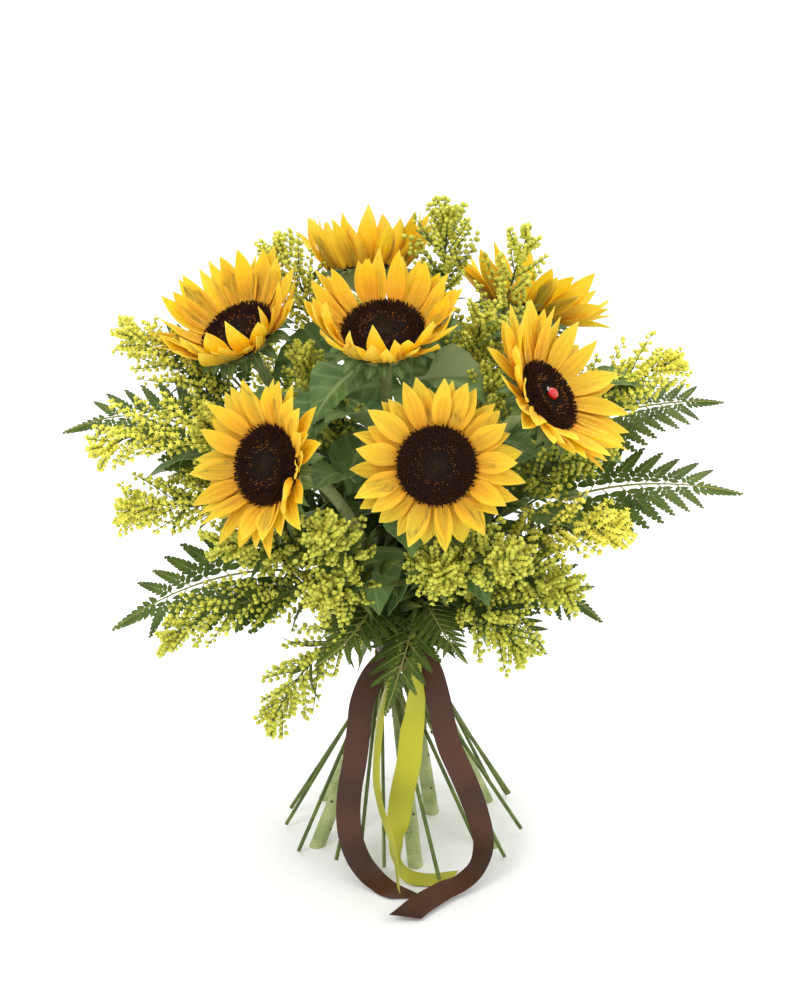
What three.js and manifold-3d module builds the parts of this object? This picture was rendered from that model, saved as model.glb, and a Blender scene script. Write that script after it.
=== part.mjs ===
// A hand-tied bunch of sunflowers: seven blooms on spiralled stems, with goldenrod sprays and
// leather fern between them, bound at the waist with twine and tied with a brown and a lime ribbon.
// It stands on the cut ends of the seven flower stems. Millimetres, +Z up, -Y to the front.
import * as THREE from "three";
import { mergeVertices } from "three/addons/utils/BufferGeometryUtils.js";
import Module from "manifold-3d";

const wasm = await Module();
wasm.setup();

const vec = (x, y, z) => new THREE.Vector3(x, y, z);
const UP = vec(0, 0, 1);
const DEGREE = Math.PI / 180;

// The middle of the whole bunch, seen from above, measured from the axis of the bundle.
const BUNCH_MIDDLE = vec(-1, 13, 0);

// The bundle. Every stem is straight from its foot up through the waist, all leaning the same way
// round, so that no two of them cross. Feet and heads are turned so many degrees from the waist.
const WAIST_HEIGHT = 160;
const STRAIGHT_TOP = 192;
const FLOWER_RING = 11;
const FLOWER_FOOT_RING = 78;
const THIN_RING = 18.5;
const THIN_FOOT_RING = 98;
const FOOT_TURN = 80;
const HEAD_TURN = 85;
const FLOWER_STEM = { foot: 6, waist: 4.9, neck: 4.2 };
const THIN_STEM = 1.5;
const FLOWER_REACH = { out: 0.42, in: 0.3 };
const THIN_REACH = { out: 0.4, in: 0.4 };
const CLEARANCE = 0.3;

// Each bloom: the middle of its disc, the way that it faces, and how its ray petals stand. cup is
// the mean angle of the petals above the disc's plane, and lift is how much more those towards
// the angle "toward" stand up. slot is where its stem crosses the waist, turn is how much further
// round the bundle it stands, and stand is how far out, if not on the ring of the others. Each leaf
// leaves the stem so far along it, to one side.
const BLOOMS = [
  { name: "front", centre: [22, -135, 365], axis: [0.03, -0.93, 0.36], disc: 28, petal: 35,
    cup: 16, lift: 3, toward: 90, slot: 6, turn: 80, seed: 1,
    leaves: [{ at: 0.86, side: [-0.75, -0.1, 0.25], length: 62 }] },
  { name: "left", centre: [-99, -114, 357], axis: [-0.65, -0.686, 0.331], disc: 29, petal: 40,
    cup: 30, lift: 20, toward: 0, slot: 311, turn: 80, seed: 2,
    leaves: [{ at: 0.84, side: [-0.5, 0.3, -0.8], length: 64 }] },
  { name: "top", centre: [-16, -50, 437], axis: [-0.05, -0.43, 0.9], disc: 30, petal: 54,
    cup: 52, lift: 17, toward: -100, slot: null, foot: [22, 20], seed: 3,
    leaves: [{ at: 0.86, side: [0.95, -0.1, 0.05], length: 74 },
      { at: 0.80, side: [-0.45, -0.8, -0.15], length: 66 }] },
  { name: "upper_left", centre: [-125, 1, 420], axis: [-0.4, -0.36, 0.84], disc: 28, petal: 45,
    cup: 51, lift: 20, toward: -70, slot: 252, turn: 82, seed: 4,
    leaves: [{ at: 0.84, side: [-0.2, 0.8, 0.3], length: 60 }] },
  { name: "right", centre: [103, -79, 397], axis: [0.7, -0.36, 0.62], disc: 27, petal: 50,
    cup: 26, lift: 24, toward: 200, slot: 66, turn: 80, seed: 5,
    leaves: [{ at: 0.82, side: [0.9, 0.3, 0.35], length: 58 }] },
  { name: "back_right", centre: [94, 82, 408], axis: [0.36, 0.5, 0.79], disc: 28, petal: 48,
    cup: 44, lift: 6, toward: -90, slot: 126, turn: 80, seed: 6,
    leaves: [{ at: 0.84, side: [0.1, 0.9, -0.3], length: 62 }] },
  { name: "back", centre: [-30, 76, 446], axis: [-0.05, 0.42, 0.9], disc: 28, petal: 52,
    cup: 56, lift: 8, toward: -90, slot: 191, turn: 86, stand: 66, seed: 7,
    leaves: [{ at: 0.84, side: [-0.3, 0.85, -0.3], length: 62 }] },
];

// The thin stems: where each tip is, the way it points there, how long its plume or frond is, and
// how high above the floor its stem is cut. side is the side of the bundle that it keeps to where
// that isn't the side of its tip, reach how far its bend reaches where that isn't the usual, and
// look the way that a frond's upper face looks.
const GOLDENROD = [
  { name: "top_right", tip: [94, 20, 496], end: [0.35, 0, 0.93], plume: 150, cut: 3, side: 3 },
  { name: "top_slim", tip: [32, 44, 500], end: [0.05, 0.1, 0.99], plume: 70, cut: 10 },
  { name: "top_left", tip: [-100, 58, 472], end: [-0.6, 0.2, 0.78], plume: 95, cut: 4 },
  { name: "upper_left", tip: [-213, 0, 421], end: [-0.85, 0, 0.5], plume: 105, cut: 2 },
  { name: "left", tip: [-229, -60, 344], end: [-0.8, -0.2, -0.55], plume: 115, cut: 16 },
  { name: "left_low", tip: [-212, -45, 292], end: [-0.95, -0.2, -0.2], plume: 85, cut: 5 },
  { name: "lower_left", tip: [-184, -84, 203], end: [-0.85, -0.25, -0.45], plume: 130, cut: 2 },
  { name: "bottom_left", tip: [-102, -108, 145], end: [-0.45, -0.2, -0.87], plume: 115, cut: 8,
    reach: { out: 0.4, in: 0.52 } },
  { name: "front_left", tip: [-58, -148, 322], end: [-0.1, -0.75, 0.65], plume: 90, cut: 4 },
  { name: "front_right", tip: [78, -150, 300], end: [0.4, -0.8, 0.3], plume: 95, cut: 2 },
  { name: "front_low", tip: [88, -118, 208], end: [0.6, -0.5, -0.62], plume: 85, cut: 24 },
  { name: "right_low", tip: [160, -98, 300], end: [0.85, -0.45, 0.1], plume: 100, cut: 3 },
  { name: "right", tip: [206, 4, 396], end: [0.9, 0.05, 0.3], plume: 95, cut: 6 },
  { name: "right_back", tip: [178, 78, 356], end: [0.8, 0.45, 0.2], plume: 95, cut: 2 },
  { name: "middle_right", tip: [58, -22, 442], end: [0.2, -0.35, 0.9], plume: 95, cut: 14 },
  { name: "back_right", tip: [70, 172, 352], end: [0.3, 0.85, 0.3], plume: 100, cut: 4 },
  { name: "back_middle", tip: [-30, 172, 384], end: [-0.1, 0.8, 0.5], plume: 95, cut: 12 },
  { name: "back_left", tip: [-138, 128, 372], end: [-0.7, 0.6, 0.3], plume: 100, cut: 3 },
];
const FERNS = [
  { name: "right", tip: [256, -24, 299], end: [0.97, -0.1, -0.2], frond: 155, cut: 116,
    look: [0, -0.6, 0.8] },
  { name: "right_high", tip: [246, 34, 352], end: [0.95, 0.1, -0.1], frond: 120, cut: 100,
    look: [0, -0.55, 0.85] },
  { name: "right_low", tip: [150, -52, 205], end: [0.66, -0.2, -0.72], frond: 120, cut: 122,
    look: [0.3, -0.7, 0.65] },
  { name: "front_right", tip: [106, -90, 196], end: [0.6, -0.4, -0.7], frond: 90, cut: 108,
    look: [0.3, -0.7, 0.65] },
  { name: "front", tip: [-15, -112, 156], end: [-0.35, -0.55, -0.75], frond: 125, cut: 110,
    look: [-0.1, -0.8, 0.6] },
  { name: "left_low", tip: [-223, -52, 199], end: [-0.8, -0.15, -0.58], frond: 165, cut: 126,
    look: [-0.2, -0.6, 0.75] },
  { name: "left", tip: [-258, -14, 345], end: [-0.9, -0.1, -0.42], frond: 135, cut: 112,
    look: [0, -0.5, 0.85] },
  { name: "back_left", tip: [-178, 118, 262], end: [-0.75, 0.55, -0.35], frond: 140, cut: 104,
    look: [-0.3, 0.5, 0.8] },
  { name: "back", tip: [-40, 204, 262], end: [-0.1, 0.9, -0.4], frond: 140, cut: 120,
    look: [0, 0.6, 0.8] },
  { name: "back_right", tip: [128, 172, 256], end: [0.6, 0.7, -0.38], frond: 140, cut: 110,
    look: [0.3, 0.5, 0.8] },
];

const COLOURS = {
  petal: { color: 0xf6ab13, roughness: 0.55 },
  disc: { color: 0x2c160f, roughness: 0.85 },
  leaf: { color: 0x5d7a3c, roughness: 0.5 },
  goldenrod: { color: 0xb4b42a, roughness: 0.7 },
  fern: { color: 0x33541f, roughness: 0.45 },
  brown: { color: 0x4a2a26, roughness: 0.35 },
  lime: { color: 0xc6cc2e, roughness: 0.35 },
  twine: { color: 0xa98a56, roughness: 0.9 },
  ladybird: { color: 0xd21414, roughness: 0.15 },
};

// The same number from 0 to 1 each time for the same seed and place in the row.
function chance(seed, place) {
  const wave = Math.sin(seed * 127.1 + place * 311.7) * 43758.5453;
  return wave - Math.floor(wave);
}

const sway = (seed, place) => 2 * chance(seed, place) - 1;

// A closed mesh of points and triangles as a solid.
function solidOf(points, triangles) {
  const vertProperties = new Float32Array(points.flatMap((p) => [p.x, p.y, p.z]));
  const triVerts = new Uint32Array(triangles.flat());
  return new wasm.Manifold(new wasm.Mesh({ numProp: 3, vertProperties, triVerts }));
}

// A three.js geometry, closed once its shared vertices are merged, as a solid.
function solidOfGeometry(geometry) {
  geometry.deleteAttribute("normal");
  geometry.deleteAttribute("uv");
  const merged = mergeVertices(geometry, 1e-4);
  const triVerts = new Uint32Array(merged.index.array);
  const vertProperties = new Float32Array(merged.attributes.position.array);
  return new wasm.Manifold(new wasm.Mesh({ numProp: 3, vertProperties, triVerts }));
}

// The four-cornered or many-sided skin between one ring of points and the next.
function joinRings(triangles, lower, upper) {
  const sides = lower.length;
  for (let k = 0; k < sides; k++) {
    const next = (k + 1) % sides;
    triangles.push([lower[k], lower[next], upper[next]], [lower[k], upper[next], upper[k]]);
  }
}

const quad = (triangles, a, b, c, d) => triangles.push([a, b, c], [a, c, d]);

// The skin of a flat strip between two four-cornered rings. Both of its faces are split alike, so
// they don't cross where the strip twists.
function joinStrip(triangles, low, high) {
  quad(triangles, low[0], low[1], high[1], high[0]);
  quad(triangles, low[3], high[3], high[2], low[2]);
  quad(triangles, low[1], low[2], high[2], high[1]);
  quad(triangles, low[3], low[0], high[0], high[3]);
}

// A solid round rod along a path, its radius given for each row and side.
function rod(path, rows, sides, radiusAt) {
  const frames = path.computeFrenetFrames(rows, false);
  const points = [];
  const triangles = [];
  const rings = [];
  for (let row = 0; row <= rows; row++) {
    const centre = path.getPointAt(row / rows);
    const ring = [];
    for (let side = 0; side < sides; side++) {
      const angle = (2 * Math.PI * side) / sides;
      const radius = radiusAt(row / rows, row, side);
      ring.push(points.length);
      points.push(centre.clone()
        .addScaledVector(frames.normals[row], radius * Math.cos(angle))
        .addScaledVector(frames.binormals[row], radius * Math.sin(angle)));
    }
    rings.push(ring);
    if (row > 0) joinRings(triangles, rings[row - 1], ring);
  }
  for (let side = 1; side < sides - 1; side++) {
    triangles.push([rings[0][0], rings[0][side + 1], rings[0][side]]);
    triangles.push([rings[rows][0], rings[rows][side], rings[rows][side + 1]]);
  }
  return solidOf(points, triangles);
}

// Grows a flat blade out of the four corners of a root face. Each row gives the middle of the
// blade, its sideways and face directions, its half width and half thickness; the last is its tip.
function growBlade(points, triangles, root, rows, tip) {
  let ring = root;
  for (const { middle, across, face, half, thick } of rows) {
    const corner = (a, b) => {
      points.push(middle.clone().addScaledVector(across, a * half).addScaledVector(face, b * thick));
      return points.length - 1;
    };
    const next = [corner(1, 1), corner(-1, 1), corner(-1, -1), corner(1, -1)];
    joinStrip(triangles, ring, next);
    ring = next;
  }
  points.push(tip);
  for (let k = 0; k < 4; k++) triangles.push([ring[k], ring[(k + 1) % 4], points.length - 1]);
}

// A blade as a solid of its own, closed at its root, to test where it would lie.
function bladeAlone(corners, { rows, tip }) {
  const points = corners.map((corner) => corner.clone());
  const triangles = [];
  quad(triangles, 0, 3, 2, 1);
  growBlade(points, triangles, [0, 1, 2, 3], rows, tip);
  return solidOf(points, triangles);
}

// Joins to a core the repeats that are free to lie where they are, and leaves out the rest.
const joinFree = (core, repeats, isFree) => (
  repeats.filter(isFree).reduce((whole, one) => whole.add(one), core)
);

// The frame of a bloom: right and up in the plane of its disc, and out along its axis.
function bloomFrame({ centre, axis }) {
  const out = vec(...axis).normalize();
  const up = UP.clone().addScaledVector(out, -UP.dot(out)).normalize();
  const right = up.clone().cross(out);
  return { centre: vec(...centre), out, up, right };
}

// A point of a bloom by its angle round the disc, its radius and its height along the axis.
function bloomPoint(frame, angle, radius, height) {
  return frame.centre.clone()
    .addScaledVector(frame.right, radius * Math.cos(angle))
    .addScaledVector(frame.up, radius * Math.sin(angle))
    .addScaledVector(frame.out, height);
}

// The way that a blade's upper face looks when it rises by an angle from the disc's plane.
const faceOf = (frame, radial, rise) => (
  frame.out.clone().multiplyScalar(Math.cos(rise)).addScaledVector(radial, -Math.sin(rise))
);

// The ring of ray petals: two layers, one between and below the other, on a collar round the disc.
// The lower layer drops by some degrees, and every petal strays a little in its angle and length
// and curls inwards along its length. Each row of a petal has its share of the length and width.
const PETALS = 22;
const COLLAR = { gap: 0.4, width: 3, layer: 1.3 };
const PETAL = { halfWidth: 7, halfThick: 0.45, drop: 9, stray: 3, uneven: 0.07, curl: 20 };
const PETAL_ROWS = [[0.3, 1], [0.68, 0.86]];

// The angle in degrees at which the petals of a bloom stand, on one side of it.
const cupAt = (bloom, angle) => bloom.cup + bloom.lift * Math.cos(angle - bloom.toward * DEGREE);

function petalRing(bloom) {
  const frame = bloomFrame(bloom);
  const points = [];
  const triangles = [];
  const inner = bloom.disc + COLLAR.gap;
  const outer = inner + COLLAR.width;
  const column = (radius, height) => Array.from({ length: PETALS }, (_, k) => {
    points.push(bloomPoint(frame, (2 * Math.PI * k) / PETALS, radius, height));
    return points.length - 1;
  });
  const innerTop = column(inner, 0);
  const innerBottom = column(inner, -2 * COLLAR.layer);
  const levels = [0, 1, 2].map((level) => column(outer, -level * COLLAR.layer));
  for (let k = 0; k < PETALS; k++) {
    const next = (k + 1) % PETALS;
    quad(triangles, innerTop[k], levels[0][k], levels[0][next], innerTop[next]);
    quad(triangles, innerBottom[k], innerBottom[next], levels[2][next], levels[2][k]);
    quad(triangles, innerTop[k], innerTop[next], innerBottom[next], innerBottom[k]);
    const layer = k % 2;
    const corners = (at) => [levels[at][next], levels[at][k], levels[at + 1][k], levels[at + 1][next]];
    quad(triangles, ...corners(1 - layer));
    const angle = (2 * Math.PI * (k + 0.5)) / PETALS;
    const rise = cupAt(bloom, angle) - PETAL.drop * layer + PETAL.stray * sway(bloom.seed, k);
    const length = bloom.petal * (1 + PETAL.uneven * sway(bloom.seed, k + PETALS));
    const radial = bloomPoint(frame, angle, 1, 0).sub(frame.centre);
    const across = frame.out.clone().cross(radial);
    let along = 0;
    const middle = bloomPoint(frame, angle, outer, -(layer + 0.5) * COLLAR.layer);
    const stepTo = (share) => {
      const bend = (rise - (PETAL.curl * (along + share)) / 2) * DEGREE;
      middle.addScaledVector(radial, (share - along) * length * Math.cos(bend));
      middle.addScaledVector(frame.out, (share - along) * length * Math.sin(bend));
      along = share;
      return bend;
    };
    const rows = PETAL_ROWS.map(([share, width]) => {
      const bend = stepTo(share);
      const face = faceOf(frame, radial, bend);
      return { middle: middle.clone(), across, face, half: PETAL.halfWidth * width, thick: PETAL.halfThick };
    });
    stepTo(1);
    growBlade(points, triangles, corners(layer), rows, middle);
  }
  return solidOf(points, triangles);
}

// The disc: a low dome whose florets stand out as relief.
const DISC_RINGS = [[0.34, 3.2], [0.6, 4.6], [0.84, 4.4], [1, 2]];
const DISC_SIDES = 14;
const FLORET_RELIEF = 0.9;
const DISC_BOTTOM = -3;
const DISC_MIDDLE = 2.4;

function disc(bloom) {
  const frame = bloomFrame(bloom);
  const points = [];
  const triangles = [];
  const ring = (radius, height, relief, turn) => Array.from({ length: DISC_SIDES }, (_, k) => {
    const raised = k % 2 ? height + relief : height - relief;
    points.push(bloomPoint(frame, (2 * Math.PI * (k + turn)) / DISC_SIDES, radius, raised));
    return points.length - 1;
  });
  const last = DISC_RINGS.length - 1;
  const rings = [ring(bloom.disc, DISC_BOTTOM, 0, last / 2)];
  for (let row = last; row >= 0; row--) {
    const [share, height] = DISC_RINGS[row];
    rings.push(ring(share * bloom.disc, height, FLORET_RELIEF, row / 2));
  }
  for (let row = 1; row < rings.length; row++) joinRings(triangles, rings[row - 1], rings[row]);
  points.push(bloomPoint(frame, 0, 0, DISC_MIDDLE), bloomPoint(frame, 0, 0, DISC_BOTTOM));
  const top = rings[rings.length - 1];
  for (let k = 0; k < DISC_SIDES; k++) {
    const next = (k + 1) % DISC_SIDES;
    triangles.push([top[k], top[next], points.length - 2]);
    triangles.push([rings[0][next], rings[0][k], points.length - 1]);
  }
  return solidOf(points, triangles);
}

// The green cup under a bloom, with its pointed bracts, which follow the petals part of the way.
const BRACTS = 12;
const CALYX = { top: -3.5, rim: 2.4, edge: 1.6, depth: 17, neck: 5.2, sunk: 3 };
const BRACT = { length: 19, widest: 0.42, half: 4.4, thick: 0.5, follow: 0.45, drop: 20, stray: 8 };

function calyx(bloom) {
  const frame = bloomFrame(bloom);
  const points = [];
  const triangles = [];
  const ring = (radius, height) => Array.from({ length: BRACTS }, (_, k) => {
    points.push(bloomPoint(frame, (2 * Math.PI * k) / BRACTS, radius, height));
    return points.length - 1;
  });
  const rim = bloom.disc + CALYX.rim;
  const upper = ring(rim, CALYX.top);
  const lower = ring(rim, CALYX.top - CALYX.edge);
  const neck = ring(CALYX.neck, CALYX.top - CALYX.depth);
  points.push(bloomPoint(frame, 0, 0, CALYX.top), bloomPoint(frame, 0, 0, CALYX.top - CALYX.depth));
  const topMiddle = points.length - 2;
  const neckMiddle = points.length - 1;
  joinRings(triangles, neck, lower);
  for (let k = 0; k < BRACTS; k++) {
    const next = (k + 1) % BRACTS;
    triangles.push([upper[k], upper[next], topMiddle], [neck[next], neck[k], neckMiddle]);
    const angle = (2 * Math.PI * (k + 0.5)) / BRACTS;
    const drop = BRACT.drop + BRACT.stray * chance(bloom.seed, k);
    const rise = (BRACT.follow * cupAt(bloom, angle) - drop) * DEGREE;
    const radial = bloomPoint(frame, angle, 1, 0).sub(frame.centre);
    const across = frame.out.clone().cross(radial);
    const face = faceOf(frame, radial, rise);
    const start = bloomPoint(frame, angle, rim, CALYX.top - CALYX.edge / 2);
    const at = (share) => start.clone()
      .addScaledVector(radial, share * BRACT.length * Math.cos(rise))
      .addScaledVector(frame.out, share * BRACT.length * Math.sin(rise));
    const rows = [{ middle: at(BRACT.widest), across, face, half: BRACT.half, thick: BRACT.thick }];
    growBlade(points, triangles, [upper[next], upper[k], lower[k], lower[next]], rows, at(1));
  }
  return solidOf(points, triangles);
}

// A point at a radius and an angle in degrees round the axis of the bundle.
function onRing(radius, degrees, height) {
  return vec(radius * Math.cos(degrees * DEGREE), radius * Math.sin(degrees * DEGREE), height);
}

// The path of a stem: straight from its foot through the waist, then one bend to where it arrives.
function stemPath(foot, waist, arrive, direction, reach) {
  const lean = waist.clone().sub(foot).normalize();
  const top = waist.clone().addScaledVector(lean, (STRAIGHT_TOP - WAIST_HEIGHT) / lean.z);
  const span = arrive.distanceTo(top);
  const path = new THREE.CurvePath();
  path.add(new THREE.LineCurve3(foot, top));
  path.add(new THREE.CubicBezierCurve3(
    top,
    top.clone().addScaledVector(lean, reach.out * span),
    arrive.clone().addScaledVector(direction, -reach.in * span),
    arrive,
  ));
  return path;
}

// A leaf: a narrow stalk sunk in the stem, then a broad toothed blade that arches over. It starts
// with a rise and droops more along its length, and its rows tilt a little to and fro.
const LEAF = { rise: 0.5, droop: 1.5, tilt: 0.25, thick: 0.4, sunk: 0.01, stalkHalf: 1.4, stalkThick: 1.2 };
const LEAF_ROWS = [[0.26, 0.055], [0.34, 0.3], [0.46, 0.41], [0.56, 0.33], [0.72, 0.27], [0.8, 0.17]];

function leafBlade(start, direction, length, seed) {
  const points = [];
  const triangles = [];
  const heading = direction.clone().normalize();
  const across = UP.clone().cross(heading).normalize();
  const middle = start.clone();
  let along = 0;
  const rows = [];
  const stepTo = (share) => {
    const climb = LEAF.rise - (LEAF.droop * (along + share)) / 2;
    const way = heading.clone().addScaledVector(UP, climb).normalize();
    middle.addScaledVector(way, (share - along) * length);
    along = share;
    return way;
  };
  const first = stepTo(LEAF.sunk);
  for (const [share, half] of LEAF_ROWS) {
    const way = stepTo(share);
    const tilt = across.clone().applyAxisAngle(way, LEAF.tilt * sway(seed, share));
    const face = way.clone().cross(tilt);
    rows.push({ middle: middle.clone(), across: tilt, face, half: half * length, thick: LEAF.thick });
  }
  stepTo(1);
  const face = first.clone().cross(across);
  const root = [[1, 1], [-1, 1], [-1, -1], [1, -1]].map(([a, b], place) => {
    points.push(start.clone()
      .addScaledVector(across, LEAF.stalkHalf * a)
      .addScaledVector(face, LEAF.stalkThick * b));
    return place;
  });
  quad(triangles, root[0], root[3], root[2], root[1]);
  growBlade(points, triangles, root, rows, middle.clone());
  return solidOf(points, triangles);
}

// The whole green part of a bloom: stem and cup as its core, and leaves that may be left out.
// The stem starts below the floor, which then cuts it level.
const BELOW_FLOOR = 8;
const FLOWER_ROD = { rows: 10, sides: 6 };

function flowerStemEnds({ slot, turn, foot, stand = FLOWER_FOOT_RING }) {
  if (slot === null) return [vec(...foot, 0), vec(0, 0, WAIST_HEIGHT)];
  return [onRing(stand, slot + turn, 0), onRing(FLOWER_RING, slot, WAIST_HEIGHT)];
}

function bloomStem(bloom) {
  const frame = bloomFrame(bloom);
  const [foot, waist] = flowerStemEnds(bloom);
  const below = foot.clone().addScaledVector(waist.clone().sub(foot).normalize(), -BELOW_FLOOR);
  const arrive = bloomPoint(frame, 0, 0, CALYX.top - CALYX.depth + CALYX.sunk);
  const path = stemPath(below, waist, arrive, frame.out, FLOWER_REACH);
  const { foot: wide, waist: narrow, neck } = FLOWER_STEM;
  const share = WAIST_HEIGHT / path.getLength();
  const radiusAt = (along) => along < share
    ? THREE.MathUtils.lerp(wide, narrow, along / share)
    : THREE.MathUtils.lerp(narrow, neck, (along - share) / (1 - share));
  const stem = rod(path, FLOWER_ROD.rows, FLOWER_ROD.sides, radiusAt).trimByPlane([0, 0, 1], 0);
  const leaves = bloom.leaves.map(({ at, side, length }, place) => (
    leafBlade(path.getPointAt(at), vec(...side), length, bloom.seed + place)
  ));
  const core = stem.add(calyx(bloom));
  return { core, finish: (isFree) => joinFree(core, leaves, isFree) };
}

// The places of the thin stems at the waist: evenly round the bundle, in the order of the sides
// that their tips lean to, turned together so that each stem twists about as much as the next.
function placeThinStems(plants) {
  const towards = ({ side, tip }) => (side === undefined ? Math.atan2(tip[1], tip[0]) : side * DEGREE);
  const order = [...plants].sort((a, b) => towards(a) - towards(b));
  const step = (2 * Math.PI) / order.length;
  const spare = order.map((plant, place) => towards(plant) - place * step);
  const turn = Math.atan2(
    spare.reduce((sum, angle) => sum + Math.sin(angle), 0),
    spare.reduce((sum, angle) => sum + Math.cos(angle), 0),
  );
  order.forEach((plant, place) => {
    plant.slot = (turn + place * step) / DEGREE + HEAD_TURN;
  });
}

function thinPath({ slot, cut, tip, end, reach = THIN_REACH }) {
  const waist = onRing(THIN_RING, slot, WAIST_HEIGHT);
  const floor = onRing(THIN_FOOT_RING, slot + FOOT_TURN, 0);
  const foot = floor.lerp(waist, cut / WAIST_HEIGHT);
  return stemPath(foot, waist, vec(...tip), vec(...end).normalize(), reach);
}

// A goldenrod spray: a thin stem that swells into a plume whose surface is raised into buds, and
// side branches with larger knobs of buds that stand out of it. The plume swells as part of a sine,
// and its branches get shorter up the stem and turn round it.
const PLUME = { core: 5.2, bud: 4, dent: 1.6, swellFrom: 0.28, swellTo: 0.94, rows: 13, sides: 4 };
const BRANCH = { count: 4, length: 38, shrink: 0.6, first: 0.04, last: 0.84, turn: 2.4, forward: 0.75 };
const BRANCH_BEND = { at: 0.55, rise: 2, forward: 0.3 };
const BRANCH_KNOBS = [1.4, 5, 2.8, 3.8];
const FRAME_SAMPLES = 100;

function goldenrodBranch(path, frames, start, place, k) {
  const part = k / BRANCH.count;
  const share = start + (1 - start) * THREE.MathUtils.lerp(BRANCH.first, BRANCH.last, part);
  const sample = Math.round(share * FRAME_SAMPLES);
  const along = frames.tangents[sample];
  const angle = k * BRANCH.turn + 2 * Math.PI * chance(place, k);
  const way = frames.normals[sample].clone().multiplyScalar(Math.cos(angle))
    .addScaledVector(frames.binormals[sample], Math.sin(angle))
    .addScaledVector(along, BRANCH.forward).normalize();
  const length = BRANCH.length * (1 - BRANCH.shrink * part);
  const from = path.getPointAt(share);
  const bend = from.clone()
    .addScaledVector(way, length * BRANCH_BEND.at)
    .addScaledVector(UP, BRANCH_BEND.rise);
  const tip = from.clone()
    .addScaledVector(way, length)
    .addScaledVector(along, length * BRANCH_BEND.forward);
  const curve = new THREE.QuadraticBezierCurve3(from, bend, tip);
  return rod(curve, BRANCH_KNOBS.length - 1, 3, (_, row) => BRANCH_KNOBS[row]);
}

function goldenrod(plant, place, path) {
  const start = 1 - plant.plume / path.getLength();
  const core = rod(path, PLUME.rows, PLUME.sides, (along, row, side) => {
    if (along < start) return THIN_STEM;
    const swell = THREE.MathUtils.mapLinear(along, start, 1, PLUME.swellFrom, PLUME.swellTo);
    const raised = (row + side) % 2 ? PLUME.bud : -PLUME.dent;
    return THIN_STEM + Math.sin(Math.PI * swell) * (PLUME.core + raised);
  });
  const frames = path.computeFrenetFrames(FRAME_SAMPLES, false);
  const branches = Array.from({ length: BRANCH.count }, (_, k) => (
    goldenrodBranch(path, frames, start, place, k)
  ));
  return { core, finish: (isFree) => joinFree(core, branches, isFree) };
}

// A fern frond: a thin stem whose end bears toothed leaflets to both sides, longest near its base.
// Spans and widths are shares of the frond's length, and taper says how much less they are at its
// tip. A leaflet leans out by an angle and arches down, and the frond as a whole may twist.
const FROND = { pairs: 6, rows: 6, stalk: 1.1, rib: 1, ribTaper: 0.4, thick: 0.4, end: 0.14, twist: 0.3 };
const LEAFLET = { span: 0.38, spanTaper: 0.72, half: 0.05, halfTaper: 0.45, arch: 0.1, long: 4 };
const LEAFLET_LEAN = { first: 58, last: 44 };
const FROND_END = [[0.3, 3.2], [0.6, 2]];
const LONG_LEAFLET = [[0.24, 1], [0.42, 0.55], [0.6, 0.75]];
const SHORT_LEAFLET = [[0.3, 1], [0.62, 0.62]];

function frondStations(plant, place, path) {
  const start = 1 - plant.frond / path.getLength();
  const segments = 2 * FROND.pairs + 1;
  const stops = [];
  for (let k = 0; k < FROND.rows; k++) stops.push((start * k) / FROND.rows);
  for (let k = 0; k <= segments; k++) {
    stops.push(start + ((1 - start) * (1 - FROND.end) * k) / segments);
  }
  return stops.map((stop) => {
    const share = Math.max(0, (stop - start) / (1 - start));
    const along = path.getTangentAt(stop);
    const across = vec(...plant.look).cross(along).normalize()
      .applyAxisAngle(along, FROND.twist * share * sway(place, 0));
    const half = share > 0 ? FROND.rib * (1 - FROND.ribTaper * share) : FROND.stalk;
    return { middle: path.getPointAt(stop), along, across, face: along.clone().cross(across), half };
  });
}

// One leaflet of a frond: its rows and its tip.
function leafletRows(plant, station, next, pinna, sign) {
  const share = pinna / (2 * FROND.pairs);
  const span = plant.frond * LEAFLET.span * (1 - LEAFLET.spanTaper * share);
  const lean = THREE.MathUtils.lerp(LEAFLET_LEAN.first, LEAFLET_LEAN.last, share) * DEGREE;
  const way = station.along.clone().multiplyScalar(Math.cos(lean))
    .addScaledVector(station.across, sign * Math.sin(lean));
  const across = station.face.clone().cross(way).normalize();
  const root = station.middle.clone().lerp(next.middle, 0.5);
  const at = (part) => root.clone().addScaledVector(way, part * span)
    .addScaledVector(station.face, -LEAFLET.arch * span * part * part);
  const half = plant.frond * LEAFLET.half * (1 - LEAFLET.halfTaper * share);
  const rows = (pinna < LEAFLET.long ? LONG_LEAFLET : SHORT_LEAFLET).map(([part, width]) => (
    { middle: at(part), across, face: station.face, half: half * width, thick: FROND.thick }
  ));
  return { rows, tip: at(1) };
}

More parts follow.
